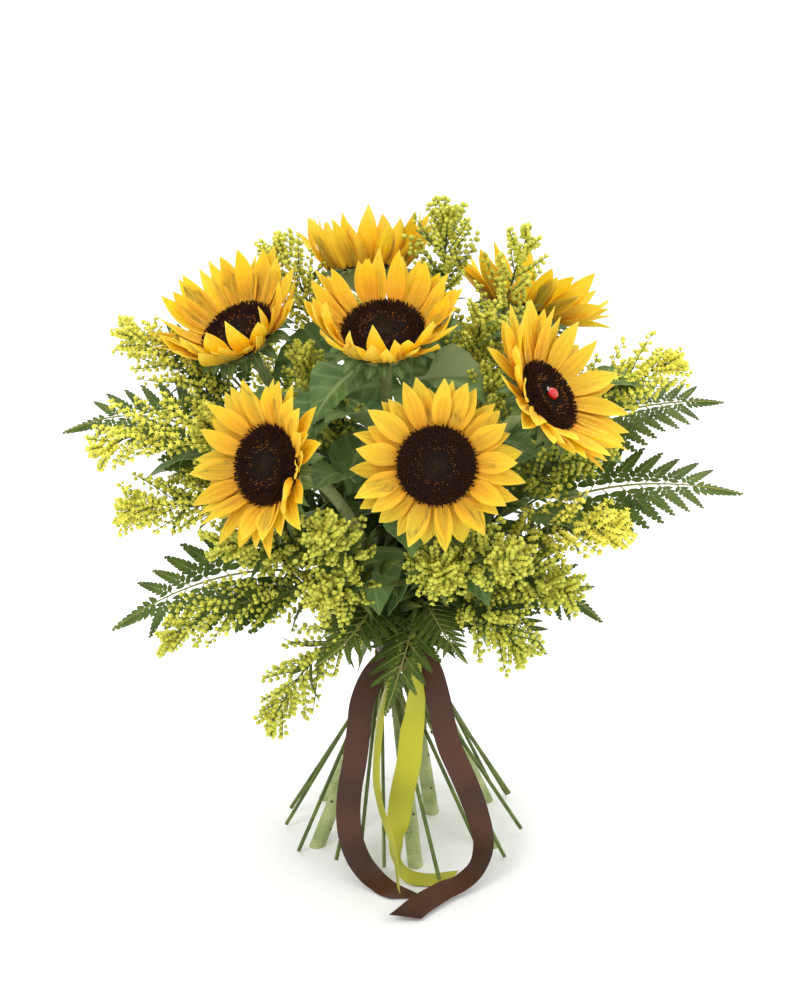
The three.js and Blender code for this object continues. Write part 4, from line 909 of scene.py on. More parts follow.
def add_lobes(pile, root, way, outward, face, span, sag, seed):
    """Lobes to both sides of each rib. They are oval and apart at its foot, shorten as
    (1 - p)^0.75 along it and run together at its point."""
    lobe = np.arange(2 * LOBES)
    side = np.where(lobe % 2 == 0, 1.0, -1.0)
    part = (lobe // 2 + 0.25 + 0.5 * (side > 0)) / LOBES
    part = 0.08 + 0.9 * part * (1.1 - 0.1 * part)
    origin = (root[:, None] + way[:, None] * (span[:, None] * part)[..., None]
              - face[:, None] * (sag[:, None] * part ** 2)[..., None])
    size = np.minimum(1, 0.7 + 2 * part) * (1 - part) ** 0.75
    reach = span[:, None] * (0.22 * size + 0.03)
    slant = np.radians(64 - 36 * part)[:, None]
    lobe_way = way[:, None] * np.cos(slant) + outward[:, None] * side[:, None] * np.sin(slant)
    lobe_side = np.cross(np.broadcast_to(face[:, None], lobe_way.shape), lobe_way)
    rows = len(LOBE_WIDTHS)
    v = np.linspace(0, 1, rows)
    middle = (origin[:, :, None] + lobe_way[:, :, None] * (reach[..., None] * v)[..., None]
              - face[:, None, None] * (0.1 * reach[..., None] * v ** 2)[..., None])
    half = (0.42 * span[:, None] / LOBES) * (1 + 0.45 * part) * (1 - 0.72 * part ** 5)
    half = (half[..., None] * LOBE_WIDTHS).reshape(-1, rows)
    lobe_face = np.broadcast_to(face[:, None, None], middle.shape).reshape(-1, rows, 3)
    lobe_side = np.broadcast_to(lobe_side[:, :, None], middle.shape).reshape(-1, rows, 3)
    s = np.linspace(-1, 1, LOBE_COLUMNS)
    points, uv = sheets(middle.reshape(-1, rows, 3), lobe_side, lobe_face, half,
                        -0.22 * half[..., None] * s ** 2, LOBE_COLUMNS, LOBE_THICKNESS)
    kinds = np.repeat([1.0, 2.0], rows * LOBE_COLUMNS)
    tone = (np.repeat(chance(seed + 1, np.arange(len(span))), 2 * LOBES) * 0.6
            + 0.4 * chance(seed + 2, np.arange(len(half))))
    pile.add(points, sheet_faces(rows, LOBE_COLUMNS), uv, tone, kinds)


def fern(pile, path, frond, look, place):
    """A thin stalk and the leaflets on it, whose ribs sag a little, apart from the last. kind is 0
    on stalks and ribs, 1 on top of a lobe and 2 under it."""
    shares = np.linspace(0, 1, 70)
    centres, _, length = along_path(path, shares)
    start = 1 - frond / length
    thin = np.interp(shares, [0, start, 1], [1.3, 1.2, 0.35])
    pile.add(*tubes(centres[None], thin[None], 6), tone=0.4, kind=0.0)
    root, way, outward, face, span = leaflets(path, frond, start, look, place)
    sag = 0.1 * span
    sag[-1] = 0
    t = np.linspace(0, 1, LEAFLET_ROWS)
    ribs = (root[:, None] + way[:, None] * (span[:, None] * t)[..., None]
            - face[:, None] * (sag[:, None] * t ** 2)[..., None])
    points, faces, uv = tubes(ribs, np.linspace(0.5, 0.15, LEAFLET_ROWS)[None], 3)
    pile.add(points, faces, uv, 0.4, 0.0)
    add_lobes(pile, root, way, outward, face, span, sag, FERN_SEED + place)


# Small fronds that fill the bunch: tip, the way it points there, frond length, the way it faces.
SIDE_FRONDS = [
    ((-66, -118, 200), (-0.9, -0.3, -0.4), 100, (-0.1, -0.8, 0.6)),
    ((46, -106, 196), (0.7, -0.4, -0.6), 70, (0.1, -0.8, 0.6)),
    ((-202, 20, 411), (-0.95, 0, 0.1), 95, (0, -0.5, 0.85)),
]


# Ribbons: satin strips through the same stations as in the solids, with the way each face looks.
RIBBON_WIDTH = 19
RIBBON_ROWS = 90
RIBBON_COLUMNS = 9
RIBBON_HALF_THICKNESS = 0.12
RIBBONS = {
    "brown_ribbon_tail_left": [
        ((-8, -28, 167), (-0.1, -1, 0)), ((-24, -36, 152), (-0.2, -1, 0.1)),
        ((-33, -46, 134), (-0.1, -1, 0.3)), ((-36, -54, 112), (-0.1, -1, 0.3)),
        ((-39, -61, 90), (-0.1, -1, 0.3)), ((-43, -68, 68), (0, -1, 0.3)),
        ((-44, -75, 48), (0, -1, 0.3)), ((-41, -83, 30), (0.1, -0.8, 0.6)),
        ((-32, -92, 14), (0.1, -0.6, 0.9)), ((-16, -103, 3), (0, -0.2, 1)),
        ((2, -117, 1.3), (0, 0, 1))],
    "brown_ribbon_tail_right": [
        ((12, -26.6, 167), (0.1, -1, 0)), ((20, -35, 154), (0.1, -1, 0.2)),
        ((25, -43, 139), (0.1, -1, 0.3)), ((34, -57, 103), (0.1, -1, 0.3)),
        ((43, -63, 83), (0, -1, 0.3)), ((51, -69, 65), (-0.1, -1, 0.2)),
        ((58, -77, 46), (-0.4, -0.9, 0.3)), ((61, -84, 30), (-0.6, -0.7, 0.5)),
        ((57, -92, 16), (-0.6, -0.4, 0.8)), ((46, -102, 8), (-0.3, -0.3, 1)),
        ((30, -115, 7), (-0.1, -0.4, 1)), ((14, -133, 7), (0, -0.5, 0.9)),
        ((0, -151, 5.5), (0, -0.5, 0.9))],
    "lime_ribbon_tail_wide": [
        ((7, -40.8, 183), (0.95, -0.2, 0.1)), ((9, -48, 160), (0.9, -0.4, 0)),
        ((8, -55, 134), (0.6, -0.8, 0.1)), ((5, -57, 110), (0.2, -1, 0.1)),
        ((3, -62, 90), (0, -1, 0.2)), ((-2, -68, 66), (0.1, -1, 0.2)),
        ((-5, -74, 46), (0.3, -0.9, 0.2)), ((-7, -79, 28), (0.8, -0.5, 0.3)),
        ((-5, -84, 12), (0.9, -0.1, 0.5)), ((3, -88, 3.6), (0.4, -0.1, 1)),
        ((18, -90, 1.5), (0, 0, 1)), ((38, -86, 1.1), (0, 0, 1))],
    "lime_ribbon_tail_narrow": [
        ((-3, -40.8, 183), (-0.95, -0.1, 0.1)), ((-10, -48, 160), (-1, -0.1, 0.1)),
        ((-17, -56, 136), (-1, -0.2, 0.1)), ((-20, -62, 118), (-1, -0.3, 0.1)),
        ((-22, -78, 84), (-1, -0.3, 0.1)), ((-19, -87, 66), (-1, -0.3, 0)),
        ((-13, -97, 50), (-1, -0.3, 0)), ((-8, -108, 36), (-1, -0.2, 0)),
        ((-5, -127, 15), (-1, -0.1, 0))],
}

# How far the edges of the cut end are set back and forward.
RIBBON_SLANTS = {"brown_ribbon_tail_left": 10, "brown_ribbon_tail_right": -8,
                 "lime_ribbon_tail_wide": 6, "lime_ribbon_tail_narrow": 5}


def catmull_rom(stations, t):
    """A centripetal spline: Hermite cubics whose knots are the square roots of the spacings."""
    p = np.array(stations, float)
    p = np.concatenate([[2 * p[0] - p[1]], p, [2 * p[-1] - p[-2]]])
    spans = len(stations) - 1
    place = np.clip(t, 0, 1) * spans
    low = np.minimum(place.astype(int), spans - 1)
    w = (place - low)[..., None]
    knots = np.sqrt(np.linalg.norm(np.diff(p, axis=0), axis=1))
    a, b, c = (knots[low + k][..., None] for k in range(3))
    x0, x1, x2, x3 = (p[low + k] for k in range(4))
    m1 = ((x1 - x0) / a - (x2 - x0) / (a + b) + (x2 - x1) / b) * b
    m2 = ((x2 - x1) / b - (x3 - x1) / (b + c) + (x3 - x2) / c) * b
    return (x1 + m1 * w + (3 * (x2 - x1) - 2 * m1 - m2) * w ** 2
            + (m1 + m2 - 2 * (x2 - x1)) * w ** 3)


def ribbon(name):
    """A strip across the spline, its width at right angles to the path in its face, a little
    rounded across. Its last points slide along the path, so that the end is cut on a slant."""
    stations = RIBBONS[name]
    spans = len(stations) - 1
    places = [at for at, _ in stations]
    t = np.linspace(0, 1, RIBBON_ROWS)
    centre = catmull_rom(places, t)
    along = unit(catmull_rom(places, np.minimum(t + 0.004, 1)) - catmull_rom(places, t - 0.004))
    low = np.minimum((t * spans).astype(int), spans - 1)
    looks = np.array([look for _, look in stations], float)
    mix = (t * spans - low)[:, None]
    mix = mix * mix * (3 - 2 * mix)
    face = looks[low] * (1 - mix) + looks[low + 1] * mix
    face = unit(face - along * np.sum(face * along, axis=-1, keepdims=True))
    across = np.cross(face, along)
    s = np.linspace(-1, 1, RIBBON_COLUMNS)
    slide = RIBBON_SLANTS[name] * s[None] * (np.clip(t - 0.85, 0, 1) / 0.15)[:, None]
    skin = (centre[:, None] + across[:, None] * (s * RIBBON_WIDTH / 2)[None, :, None]
            + along[:, None] * slide[..., None])
    rounding = np.sin(5 * t) ** 2 * np.clip(centre[:, 2] / 30, 0, 1)
    bow = 0.6 * (1 - s ** 2)[None] * rounding[:, None]
    skin = skin + face[:, None] * bow[..., None]
    half = face[:, None] * RIBBON_HALF_THICKNESS
    points = np.concatenate([(skin + half).reshape(-1, 3), (skin - half).reshape(-1, 3)])
    v, u = np.meshgrid(t * spans, (s + 1) / 2, indexing="ij")
    uv = np.stack([u.ravel(), v.ravel()], axis=1)
    pile = Pile()
    pile.add(points[None], sheet_faces(RIBBON_ROWS, RIBBON_COLUMNS), np.concatenate([uv, uv]),
             0.5, 0.0)
    return pile, float(np.linalg.norm(np.diff(centre, axis=0), axis=1).sum())


# Bands: radius at the lower and upper edge, height of these, and degrees that the knot is turned.
BANDS = {"brown_ribbon_band": (21.6, 23.3, 157, 173, 5),
         "lime_ribbon_band": (23.4, 29.8, 174, 189, 3)}
BAND_ROWS = 13
BAND_SIDES = 72
BAND_GAP = 0.12
BAND_DEPTH = 0.72
KNOT_ROWS = 13
KNOT_SIDES = 28
KNOT_HALF_WIDTH = 8.8
KNOT_HALF_DEPTH = 2
KNOT_FORWARD = 2.4
KNOT_POWER = 0.55


def add_band(pile, radius_low, radius_high, low, high):
    """A closed band round the bundle, whose radius runs evenly between those of its edges, with
    soft creases cos(14 v + 2 a) and cos 9 a that fade to the edges as sin pi v."""
    v = np.linspace(0, 1, BAND_ROWS)[:, None]
    a = TURN * np.arange(BAND_SIDES) / BAND_SIDES
    radius = radius_low + (radius_high - radius_low) * v
    crease = 0.16 * np.cos(14 * v + 2 * a) + 0.1 * np.cos(9 * a)
    outer = radius + BAND_DEPTH + crease * np.sin(math.pi * v)
    inner = np.broadcast_to(radius + BAND_GAP, outer.shape)
    height = np.broadcast_to(low + (high - low) * v, outer.shape)
    rings = [np.stack([r * np.cos(a), r * np.sin(a), height], axis=-1) for r in (outer, inner)]
    points = np.concatenate([ring.reshape(-1, 3) for ring in rings])
    skin, _ = barrel_faces(BAND_ROWS, BAND_SIDES)
    side = np.arange(BAND_SIDES)
    after = (side + 1) % BAND_SIDES
    size, top = BAND_ROWS * BAND_SIDES, (BAND_ROWS - 1) * BAND_SIDES
    rims = np.concatenate([
        np.stack([after, side, size + side, size + after], axis=1),
        np.stack([top + side, top + after, size + top + after, size + top + side], axis=1)])
    across, along = np.meshgrid(np.linspace(0, 1, BAND_ROWS), side / BAND_SIDES * 8, indexing="ij")
    uv = np.stack([across.ravel(), along.ravel()], axis=1)
    pile.add(points[None], [skin, skin[:, ::-1] + size, rims], np.concatenate([uv, uv]), 0.5, 0.0)


def add_knot(pile, radius, low, high, degrees):
    """A knot of satin as a squared-off ball, its sines and cosines raised to a power below 1, with
    folds cos(7 theta + 2.2 cos phi)."""
    theta, phi = np.meshgrid(np.linspace(-0.5, 0.5, KNOT_ROWS + 2)[1:-1] * math.pi,
                             TURN * np.arange(KNOT_SIDES) / KNOT_SIDES, indexing="ij")
    girth = np.cos(theta) ** KNOT_POWER
    bulge = np.sign(np.cos(phi)) * np.abs(np.cos(phi)) ** KNOT_POWER * girth
    deep = np.sign(np.sin(phi)) * np.abs(np.sin(phi)) ** 0.9 * girth
    tall = np.sign(np.sin(theta)) * np.abs(np.sin(theta)) ** KNOT_POWER
    fold = 1 + 0.07 * np.cos(7 * theta + 2.2 * np.cos(phi))
    half = (high - low - 4) / 2
    knot = np.stack([KNOT_HALF_WIDTH * bulge, -KNOT_HALF_DEPTH * deep * fold, half * tall], axis=-1)
    knot = np.concatenate([knot.reshape(-1, 3), [[0, 0, -half], [0, 0, half]]])
    knot = knot + [0, -radius, (low + high) / 2]
    turn = math.radians(degrees)
    spin = np.array([[math.cos(turn), -math.sin(turn), 0], [math.sin(turn), math.cos(turn), 0],
                     [0, 0, 1]])
    uv = np.stack([theta.ravel() / 3, phi.ravel()], axis=1)
    pile.add((knot @ spin.T)[None], turned_over(barrel_faces(KNOT_ROWS, KNOT_SIDES)),
             np.concatenate([uv, [[0, 0], [1, 0]]]), 0.5, 0.0)


def ribbon_band(name):
    """A band with the knot in front of it."""
    radius_low, radius_high, low, high, knot_turn = BANDS[name]
    pile = Pile()
    add_band(pile, radius_low, radius_high, low, high)
    add_knot(pile, (radius_low + radius_high) / 2 + KNOT_FORWARD, low, high, knot_turn)
    return pile


TWINE_TURNS = 3
TWINE_AROUND = 160
TWINE_SIDES = 10
TWINE_RING = 23.0
TWINE_RADIUS = 0.92
TWINE_LOWEST = 151
TWINE_PITCH = 2


def twine():
    """Closed turns of two-ply twine: rings whose section swells twice round and winds along, as
    1 + 0.16 cos(2 a + 40 u)."""
    pile = Pile()
    u, a = np.meshgrid(TURN * np.arange(TWINE_AROUND) / TWINE_AROUND,
                       TURN * np.arange(TWINE_SIDES) / TWINE_SIDES, indexing="ij")
    r = TWINE_RADIUS * (1 + 0.16 * np.cos(2 * a + 40 * u))
    ring = TWINE_RING + r * np.cos(a)
    row, side = np.meshgrid(np.arange(TWINE_AROUND), np.arange(TWINE_SIDES), indexing="ij")
    low, high = row * TWINE_SIDES, (row + 1) % TWINE_AROUND * TWINE_SIDES
    beside = (side + 1) % TWINE_SIDES
    quads = np.stack([low + side, high + side, high + beside, low + beside], axis=-1)
    for turn in range(TWINE_TURNS):
        height = TWINE_LOWEST + TWINE_PITCH * turn + r * np.sin(a)
        points = np.stack([ring * np.cos(u), ring * np.sin(u), height], axis=-1)
        pile.add(points.reshape(1, -1, 3), [quads.reshape(-1, 4)], None, 0.5, 0.0)
    return pile


LADYBIRD_LENGTH = 10.5
LADYBIRD_WIDTH = 8.6
LADYBIRD_HEIGHT = 4.6
LADYBIRD_ABOVE_DISC = 3.9
LADYBIRD_TURN = math.radians(35)


def dome(middle, axes, sizes, rows, sides):
    """Half an ellipsoid on its flat side, by cosine and sine of the angle above the rim. Gives its
    points, its faces and how far each point is from the middle line."""
    v = np.linspace(0, math.pi / 2, rows, endpoint=False)[:, None]
    a = TURN * np.arange(sides) / sides
    local = np.stack([np.cos(v) * np.cos(a) * sizes[0], np.cos(v) * np.sin(a) * sizes[1],
                      np.sin(v) * sizes[2] * np.ones(sides)], axis=-1).reshape(-1, 3)
    local = np.concatenate([local, [[0, 0, 0], [0, 0, sizes[2]]]])
    return (middle + local @ axes)[None], barrel_faces(rows, sides), np.abs(local[:, 0])


def ladybird(bloom):
    """A domed back with the line between its wing cases, a round head and two eyes, on the disc.
    kind is 0 on red, 1 on black and 2 on white."""
    ahead = bloom.up * math.cos(LADYBIRD_TURN) - bloom.right * math.sin(LADYBIRD_TURN)
    side = bloom.right * math.cos(LADYBIRD_TURN) + bloom.up * math.sin(LADYBIRD_TURN)
    axes = np.array([side, ahead, bloom.out])
    base = bloom.centre + bloom.out * LADYBIRD_ABOVE_DISC
    nose = base + ahead * LADYBIRD_LENGTH / 2 + bloom.out * 0.5
    pile = Pile()
    points, faces, aside = dome(base, axes, (LADYBIRD_WIDTH / 2, LADYBIRD_LENGTH / 2,
                                             LADYBIRD_HEIGHT), 14, 48)
    pile.add(points, faces, None, 0.5, np.where(aside < 0.18, 0.8, 0.0))
    points, faces, _ = dome(nose, axes, (2.1, 1.9, 1.9), 8, 20)
    pile.add(points, faces, None, 0.5, 1.0)
    for sign in (-1, 1):
        eye = nose + side * sign * 1.05 + ahead * 0.5 + bloom.out * 1.35
        points, faces, _ = dome(eye, axes, (0.62, 0.62, 0.62), 5, 12)
        pile.add(points, faces, None, 0.5, 2.0)
    return pile


# Materials. Groups give only what varies; each material holds its own shader.
def rgb(red, green, blue):
    """A colour from 0 to 255 sRGB values, as the linear colour that nodes take."""
    values = np.array([red, green, blue]) / 255
    linear = np.where(values <= 0.04045, values / 12.92, ((values + 0.055) / 1.055) ** 2.4)
    return (*linear.tolist(), 1.0)


class Tree:
    """Adds nodes to a node tree and joins their sockets."""

    def __init__(self, tree):
        self.tree = tree
        self.column = 0

    def node(self, kind, settings=None, **inputs):
        """A node with its settings, whose inputs are values or other nodes' sockets."""
        node = self.tree.nodes.new(kind)
        self.column += 1
        node.location = (180 * (self.column % 8), -260 * (self.column // 8))
        for key, value in (settings or {}).items():
            setattr(node, key, value)
        for key, value in inputs.items():
            number = key[1:]
            socket = node.inputs[int(number) if number.isdigit() else key.replace("_", " ")]
            if isinstance(value, bpy.types.NodeSocket):
                self.join(value, socket)
            else:
                socket.default_value = value
        return node

    def join(self, source, target):
        """Feeds a socket that takes values from one that gives them."""
        self.tree.links.new(source, target)

    def math(self, operation, first, second=0.0, third=0.0):
        """The result of a math node."""
        return self.node("ShaderNodeMath", {"operation": operation}, i0=first, i1=second,
                         i2=third).outputs[0]

    def mix(self, factor, first, second, blend="MIX"):
        """Two colours mixed by a factor."""
        node = self.node("ShaderNodeMix", {"data_type": "RGBA", "blend_type": blend}, i0=factor,
                         i6=first, i7=second)
        return node.outputs[2]

    def ramp(self, factor, *stops):
        """A colour ramp through (place, colour) stops."""
        node = self.node("ShaderNodeValToRGB", None, i0=factor)
        ramp = node.color_ramp
        while len(ramp.elements) < len(stops):
            ramp.elements.new(0.5)
        for element, (place, colour) in zip(ramp.elements, stops):
            element.position = place
            element.color = colour
        return node.outputs[0]

    def smooth(self, value, low, high):
        """0 below low and 1 above high, with a soft step between."""
        return self.node("ShaderNodeMapRange", {"interpolation_type": "SMOOTHSTEP"}, i0=value,
                         i1=low, i2=high, i3=0.0, i4=1.0).outputs[0]

    def uv(self):
        """The two parts of the place on a piece's UV map."""
        place = self.node("ShaderNodeUVMap", {"uv_map": "UVMap"}).outputs[0]
        split = self.node("ShaderNodeSeparateXYZ", None, Vector=place)
        return split.outputs[0], split.outputs[1]

    def attribute(self, name):
        """One of the marks that a piece's points carry."""
        return self.node("ShaderNodeAttribute", {"attribute_name": name}).outputs["Fac"]


def group(name, inputs, outputs):
    """A shared node group. Gives its tree, a helper for it, the sockets that feed it and those that
    it feeds."""
    tree = bpy.data.node_groups.new(name, "ShaderNodeTree")
    kinds = {"colour": "NodeSocketColor", "value": "NodeSocketFloat"}
    for label, kind, value in inputs:
        socket = tree.interface.new_socket(label, in_out="INPUT", socket_type=kinds[kind])
        socket.default_value = value
    for label, kind in outputs:
        tree.interface.new_socket(label, in_out="OUTPUT", socket_type=kinds[kind])
    nodes = Tree(tree)
    start = nodes.node("NodeGroupInput")
    end = nodes.node("NodeGroupOutput")
    return tree, nodes, start.outputs, end.inputs


def mottle_group():
    """Light and dark patches: coarse and fine noise, each through a soft step, mixed by Fine. The
    height is the fine noise."""
    made, tree, given, out = group(
        "mottle", [("Light", "colour", (1, 1, 1, 1)), ("Dark", "colour", (0, 0, 0, 1)),
                   ("Scale", "value", 40.0), ("Fine", "value", 0.5)],
        [("Colour", "colour"), ("Height", "value")])
    place = tree.node("ShaderNodeTexCoord").outputs["Object"]
    broad = tree.node("ShaderNodeTexNoise", None, Vector=place, Scale=given["Scale"], Detail=3.0)
    speck = tree.node("ShaderNodeTexNoise", None, Vector=place, Scale=900.0, Detail=2.0)
    fine = tree.math("MULTIPLY", tree.smooth(speck.outputs[0], 0.35, 0.65), given["Fine"])
    coarse = tree.math("MULTIPLY", tree.smooth(broad.outputs[0], 0.32, 0.68),
                       tree.math("SUBTRACT", 1.0, given["Fine"]))
    both = tree.math("ADD", fine, coarse)
    tree.join(tree.mix(both, given["Dark"], given["Light"]), out["Colour"])
    tree.join(speck.outputs[0], out["Height"])
    return made


def blade_group():
    """Lines along a blade, or slanting to its edge as veins: a cosine of u and v that wanders a
    little, made narrower by Sharp. Also the place along it and across it, and its midrib."""
    made, tree, given, out = group(
        "blade_lines", [("Lines", "value", 9.0), ("Slant", "value", 0.0), ("Sharp", "value", 0.5)],
        [("Lines", "value"), ("Along", "value"), ("Across", "value"), ("Midrib", "value")])
    u, v = tree.uv()
    across = tree.math("ABSOLUTE", tree.math("MULTIPLY_ADD", u, 2.0, -1.0))
    wander = tree.node("ShaderNodeTexNoise", {"noise_dimensions": "1D"}, W=v, Scale=7.0, Detail=1.0)
    set_back = tree.math("SUBTRACT", v, tree.math("MULTIPLY", across, 0.16))
    phase = tree.math("ADD", tree.math("MULTIPLY", u, given["Lines"]),
                      tree.math("MULTIPLY", set_back, given["Slant"]))
    phase = tree.math("ADD", phase, tree.math("MULTIPLY", wander.outputs[0], 0.5))
    cosine = tree.math("COSINE", tree.math("MULTIPLY", phase, TURN))
    wave = tree.math("MULTIPLY_ADD", cosine, 0.5, 0.5)
    power = tree.math("MULTIPLY_ADD", given["Sharp"], 6.0, 1.0)
    tree.join(tree.math("POWER", wave, power), out["Lines"])
    tree.join(v, out["Along"])
    tree.join(across, out["Across"])
    tree.join(tree.math("SUBTRACT", 1.0, tree.smooth(across, 0.02, 0.13)), out["Midrib"])
    return made


MOTTLE, BLADE = mottle_group(), blade_group()


def material(name, rough=0.5, **inputs):
    """A new material, its tree and its Principled shader with fixed values on the sockets."""
    made = bpy.data.materials.new(name)
    made.use_nodes = True
    tree = Tree(made.node_tree)
    shader = made.node_tree.nodes["Principled BSDF"]
    shader.inputs["Roughness"].default_value = rough
    for key, value in inputs.items():
        shader.inputs[key.replace("_", " ")].default_value = value
    return made, tree, shader


def shared(tree, which, **inputs):
    """A shared group placed in a material's tree."""
    return tree.node("ShaderNodeGroup", {"node_tree": which}, **inputs).outputs


def bump(tree, shader, height, strength, distance):
    """Feeds a height into a shader's normal."""
    node = tree.node("ShaderNodeBump", None, Strength=strength, Distance=distance, Height=height)
    tree.join(node.outputs[0], shader.inputs["Normal"])


def petal_material():
    """Golden yellow, deeper orange at the foot, lighter to the tip and below. Darker orange lines
    along the grooves and folds are painted shade.
    """
    made, tree, shader = material("petal", 0.62, Specular_IOR_Level=0.25, Subsurface_Weight=0.7,
                                  Subsurface_Scale=0.003, Subsurface_Radius=(1.0, 0.75, 0.2))
    lines = shared(tree, BLADE, Lines=10.0, Sharp=0.25)
    colour = tree.ramp(lines["Along"], (0.0, rgb(226, 144, 34)), (0.14, rgb(242, 172, 40)),
                       (0.5, rgb(250, 192, 48)), (0.82, rgb(252, 206, 58)), (1.0, rgb(250, 210, 80)))
    kind, tone = tree.attribute("kind"), tree.attribute("tone")
    back = tree.ramp(lines["Along"], (0.0, rgb(226, 160, 44)), (0.6, rgb(250, 202, 62)),
                     (1.0, rgb(250, 212, 88)))
    colour = tree.mix(kind, colour, back)
    folds = shared(tree, BLADE, Lines=3.0, Sharp=0.5)
    # Darker orange lines along the fine grooves: painted shade.
    painted_groove_shade = tree.math("MULTIPLY", lines["Lines"], 0.3)
    colour = tree.mix(painted_groove_shade, colour, rgb(234, 150, 34))
    # Darker orange along the three broad folds (crease): painted shade.
    crease = tree.math("MULTIPLY", tree.math("MULTIPLY", folds["Lines"], folds["Lines"]), 0.22)
    colour = tree.mix(crease, colour, rgb(216, 138, 34))
    mottled = shared(tree, MOTTLE, Light=rgb(255, 255, 255), Dark=rgb(250, 241, 224), Scale=130.0,
                     Fine=0.35)
    colour = tree.mix(1.0, colour, mottled["Colour"], "MULTIPLY")
    shade = tree.mix(tone, rgb(246, 230, 205), rgb(255, 255, 255))
    colour = tree.mix(0.8, colour, shade, "MULTIPLY")
    tree.join(colour, shader.inputs["Base Color"])
    bump(tree, shader, lines["Lines"], 0.35, 0.0006)
    return made


def disc_material():
    """Dark greenish brown at the middle, near black, then reddish-brown florets, with gold tips."""
    made, tree, shader = material("disc", 0.85, Specular_IOR_Level=0.1)
    kind, tone = tree.attribute("kind"), tree.attribute("tone")
    colour = tree.ramp(kind, (0.0, rgb(46, 48, 32)), (0.3, rgb(32, 28, 19)), (0.52, rgb(28, 16, 11)),
                       (0.7, rgb(42, 24, 15)), (0.88, rgb(50, 30, 17)), (1.0, rgb(56, 34, 18)))
    dark, light = tree.mix(0.6, colour, rgb(30, 16, 12)), tree.mix(0.07, colour, rgb(140, 80, 42))
    colour = tree.mix(tone, dark, light)
    colour = tree.mix(tree.smooth(kind, 1.6, 2.2), colour, rgb(172, 108, 38))
    tree.join(colour, shader.inputs["Base Color"])
    fuzz = shared(tree, MOTTLE, Scale=400.0, Fine=0.9)
    bump(tree, shader, fuzz["Height"], 0.5, 0.0008)
    return made


def green_material():
    """Pale stems with darker specks; blades veined, greyer and paler below, partly their own paler
    under side and partly painted light that lifts under sides lying in shade; cut ends pale.
    """
    made, tree, shader = material("stem_and_leaf", 0.58, Specular_IOR_Level=0.3,
                                  Subsurface_Weight=0.05, Subsurface_Scale=0.003,
                                  Subsurface_Radius=(0.5, 1.0, 0.3))
    kind, tone = tree.attribute("kind"), tree.attribute("tone")
    stem = shared(tree, MOTTLE, Light=rgb(186, 192, 136), Dark=rgb(126, 144, 84), Scale=55.0,
                  Fine=0.4)
    blade = shared(tree, MOTTLE, Light=rgb(98, 128, 68), Dark=rgb(54, 86, 42), Scale=60.0, Fine=0.3)
    veins = shared(tree, BLADE, Lines=0.0, Slant=7.0, Sharp=1.0)
    # The under side: the leaves' own paler colour, made paler still as painted light for under sides
    # that lie in shade.
    under = tree.mix(0.65, blade["Colour"], rgb(168, 186, 136))
    faces = tree.mix(tree.smooth(kind, 1.2, 1.8), blade["Colour"], under)
    network = tree.math("MAXIMUM", tree.math("MULTIPLY", veins["Lines"], 0.45), veins["Midrib"])
    faces = tree.mix(tree.math("MULTIPLY", network, 0.55), faces, rgb(164, 178, 118))
    faces = tree.mix(tree.math("MULTIPLY", tone, 0.35), faces, rgb(120, 140, 70))
    colour = tree.mix(tree.smooth(kind, 0.2, 0.8), stem["Colour"], faces)
    colour = tree.mix(tree.smooth(kind, 2.4, 2.8), colour, rgb(92, 70, 36))
    colour = tree.mix(tree.smooth(kind, 3.4, 3.8), colour, rgb(222, 220, 184))
    tree.join(colour, shader.inputs["Base Color"])
    height = tree.math("ADD", tree.math("MULTIPLY", stem["Height"], 0.6), network)
    bump(tree, shader, height, 0.3, 0.0006)
    return made


def goldenrod_material():
    """Lime green stems and lance leaves, buds from lime to a warm yellow."""
    made, tree, shader = material("goldenrod", 0.6, Specular_IOR_Level=0.3, Subsurface_Weight=0.08,
                                  Subsurface_Scale=0.002, Subsurface_Radius=(0.8, 1.0, 0.2))
    kind, tone = tree.attribute("kind"), tree.attribute("tone")
    green = shared(tree, MOTTLE, Light=rgb(118, 130, 60), Dark=rgb(58, 78, 38), Scale=45.0, Fine=0.25)
    veins = shared(tree, BLADE, Lines=2.0, Sharp=1.0)
    leaf = tree.mix(tree.math("MULTIPLY", veins["Midrib"], 0.4), green["Colour"], rgb(176, 184, 96))
    leaf = tree.mix(tree.math("MULTIPLY", tone, 0.5), leaf, rgb(60, 78, 36))
    bud = tree.ramp(tree.math("SUBTRACT", kind, 1.0), (0.0, rgb(154, 162, 60)),
                    (0.35, rgb(218, 216, 84)), (0.7, rgb(246, 236, 92)), (1.0, rgb(255, 240, 98)))
    bud = tree.mix(tree.math("MULTIPLY", tone, 0.25), bud, rgb(172, 180, 72))
    colour = tree.mix(tree.smooth(kind, 0.4, 0.9), leaf, bud)
    tree.join(colour, shader.inputs["Base Color"])
    bump(tree, shader, green["Height"], 0.3, 0.0005)
    return made


def fern_material():
    """Dark and a little shiny on top, paler and greyer beneath, brown-green ribs."""
    made, tree, shader = material("fern", 0.46, Specular_IOR_Level=0.2, Subsurface_Weight=0.04,
                                  Subsurface_Scale=0.002, Subsurface_Radius=(0.4, 1.0, 0.2))
    kind, tone = tree.attribute("kind"), tree.attribute("tone")
    top = shared(tree, MOTTLE, Light=rgb(84, 100, 36), Dark=rgb(40, 56, 20), Scale=70.0, Fine=0.3)
    lines = shared(tree, BLADE, Lines=0.0, Slant=5.0, Sharp=0.7)
    colour = tree.mix(tree.math("MULTIPLY", lines["Midrib"], 0.35), top["Colour"], rgb(120, 142, 68))
    colour = tree.mix(tree.math("MULTIPLY", tone, 0.35), colour, rgb(108, 128, 52))
    under = tree.mix(0.6, colour, rgb(142, 158, 108))
    faces = tree.mix(tree.smooth(kind, 1.2, 1.8), colour, under)
    colour = tree.mix(tree.smooth(kind, 0.2, 0.8), rgb(134, 138, 70), faces)
    tree.join(colour, shader.inputs["Base Color"])
    height = tree.math("SUBTRACT", lines["Lines"], lines["Midrib"])
    bump(tree, shader, height, 0.25, 0.0005)
    return made


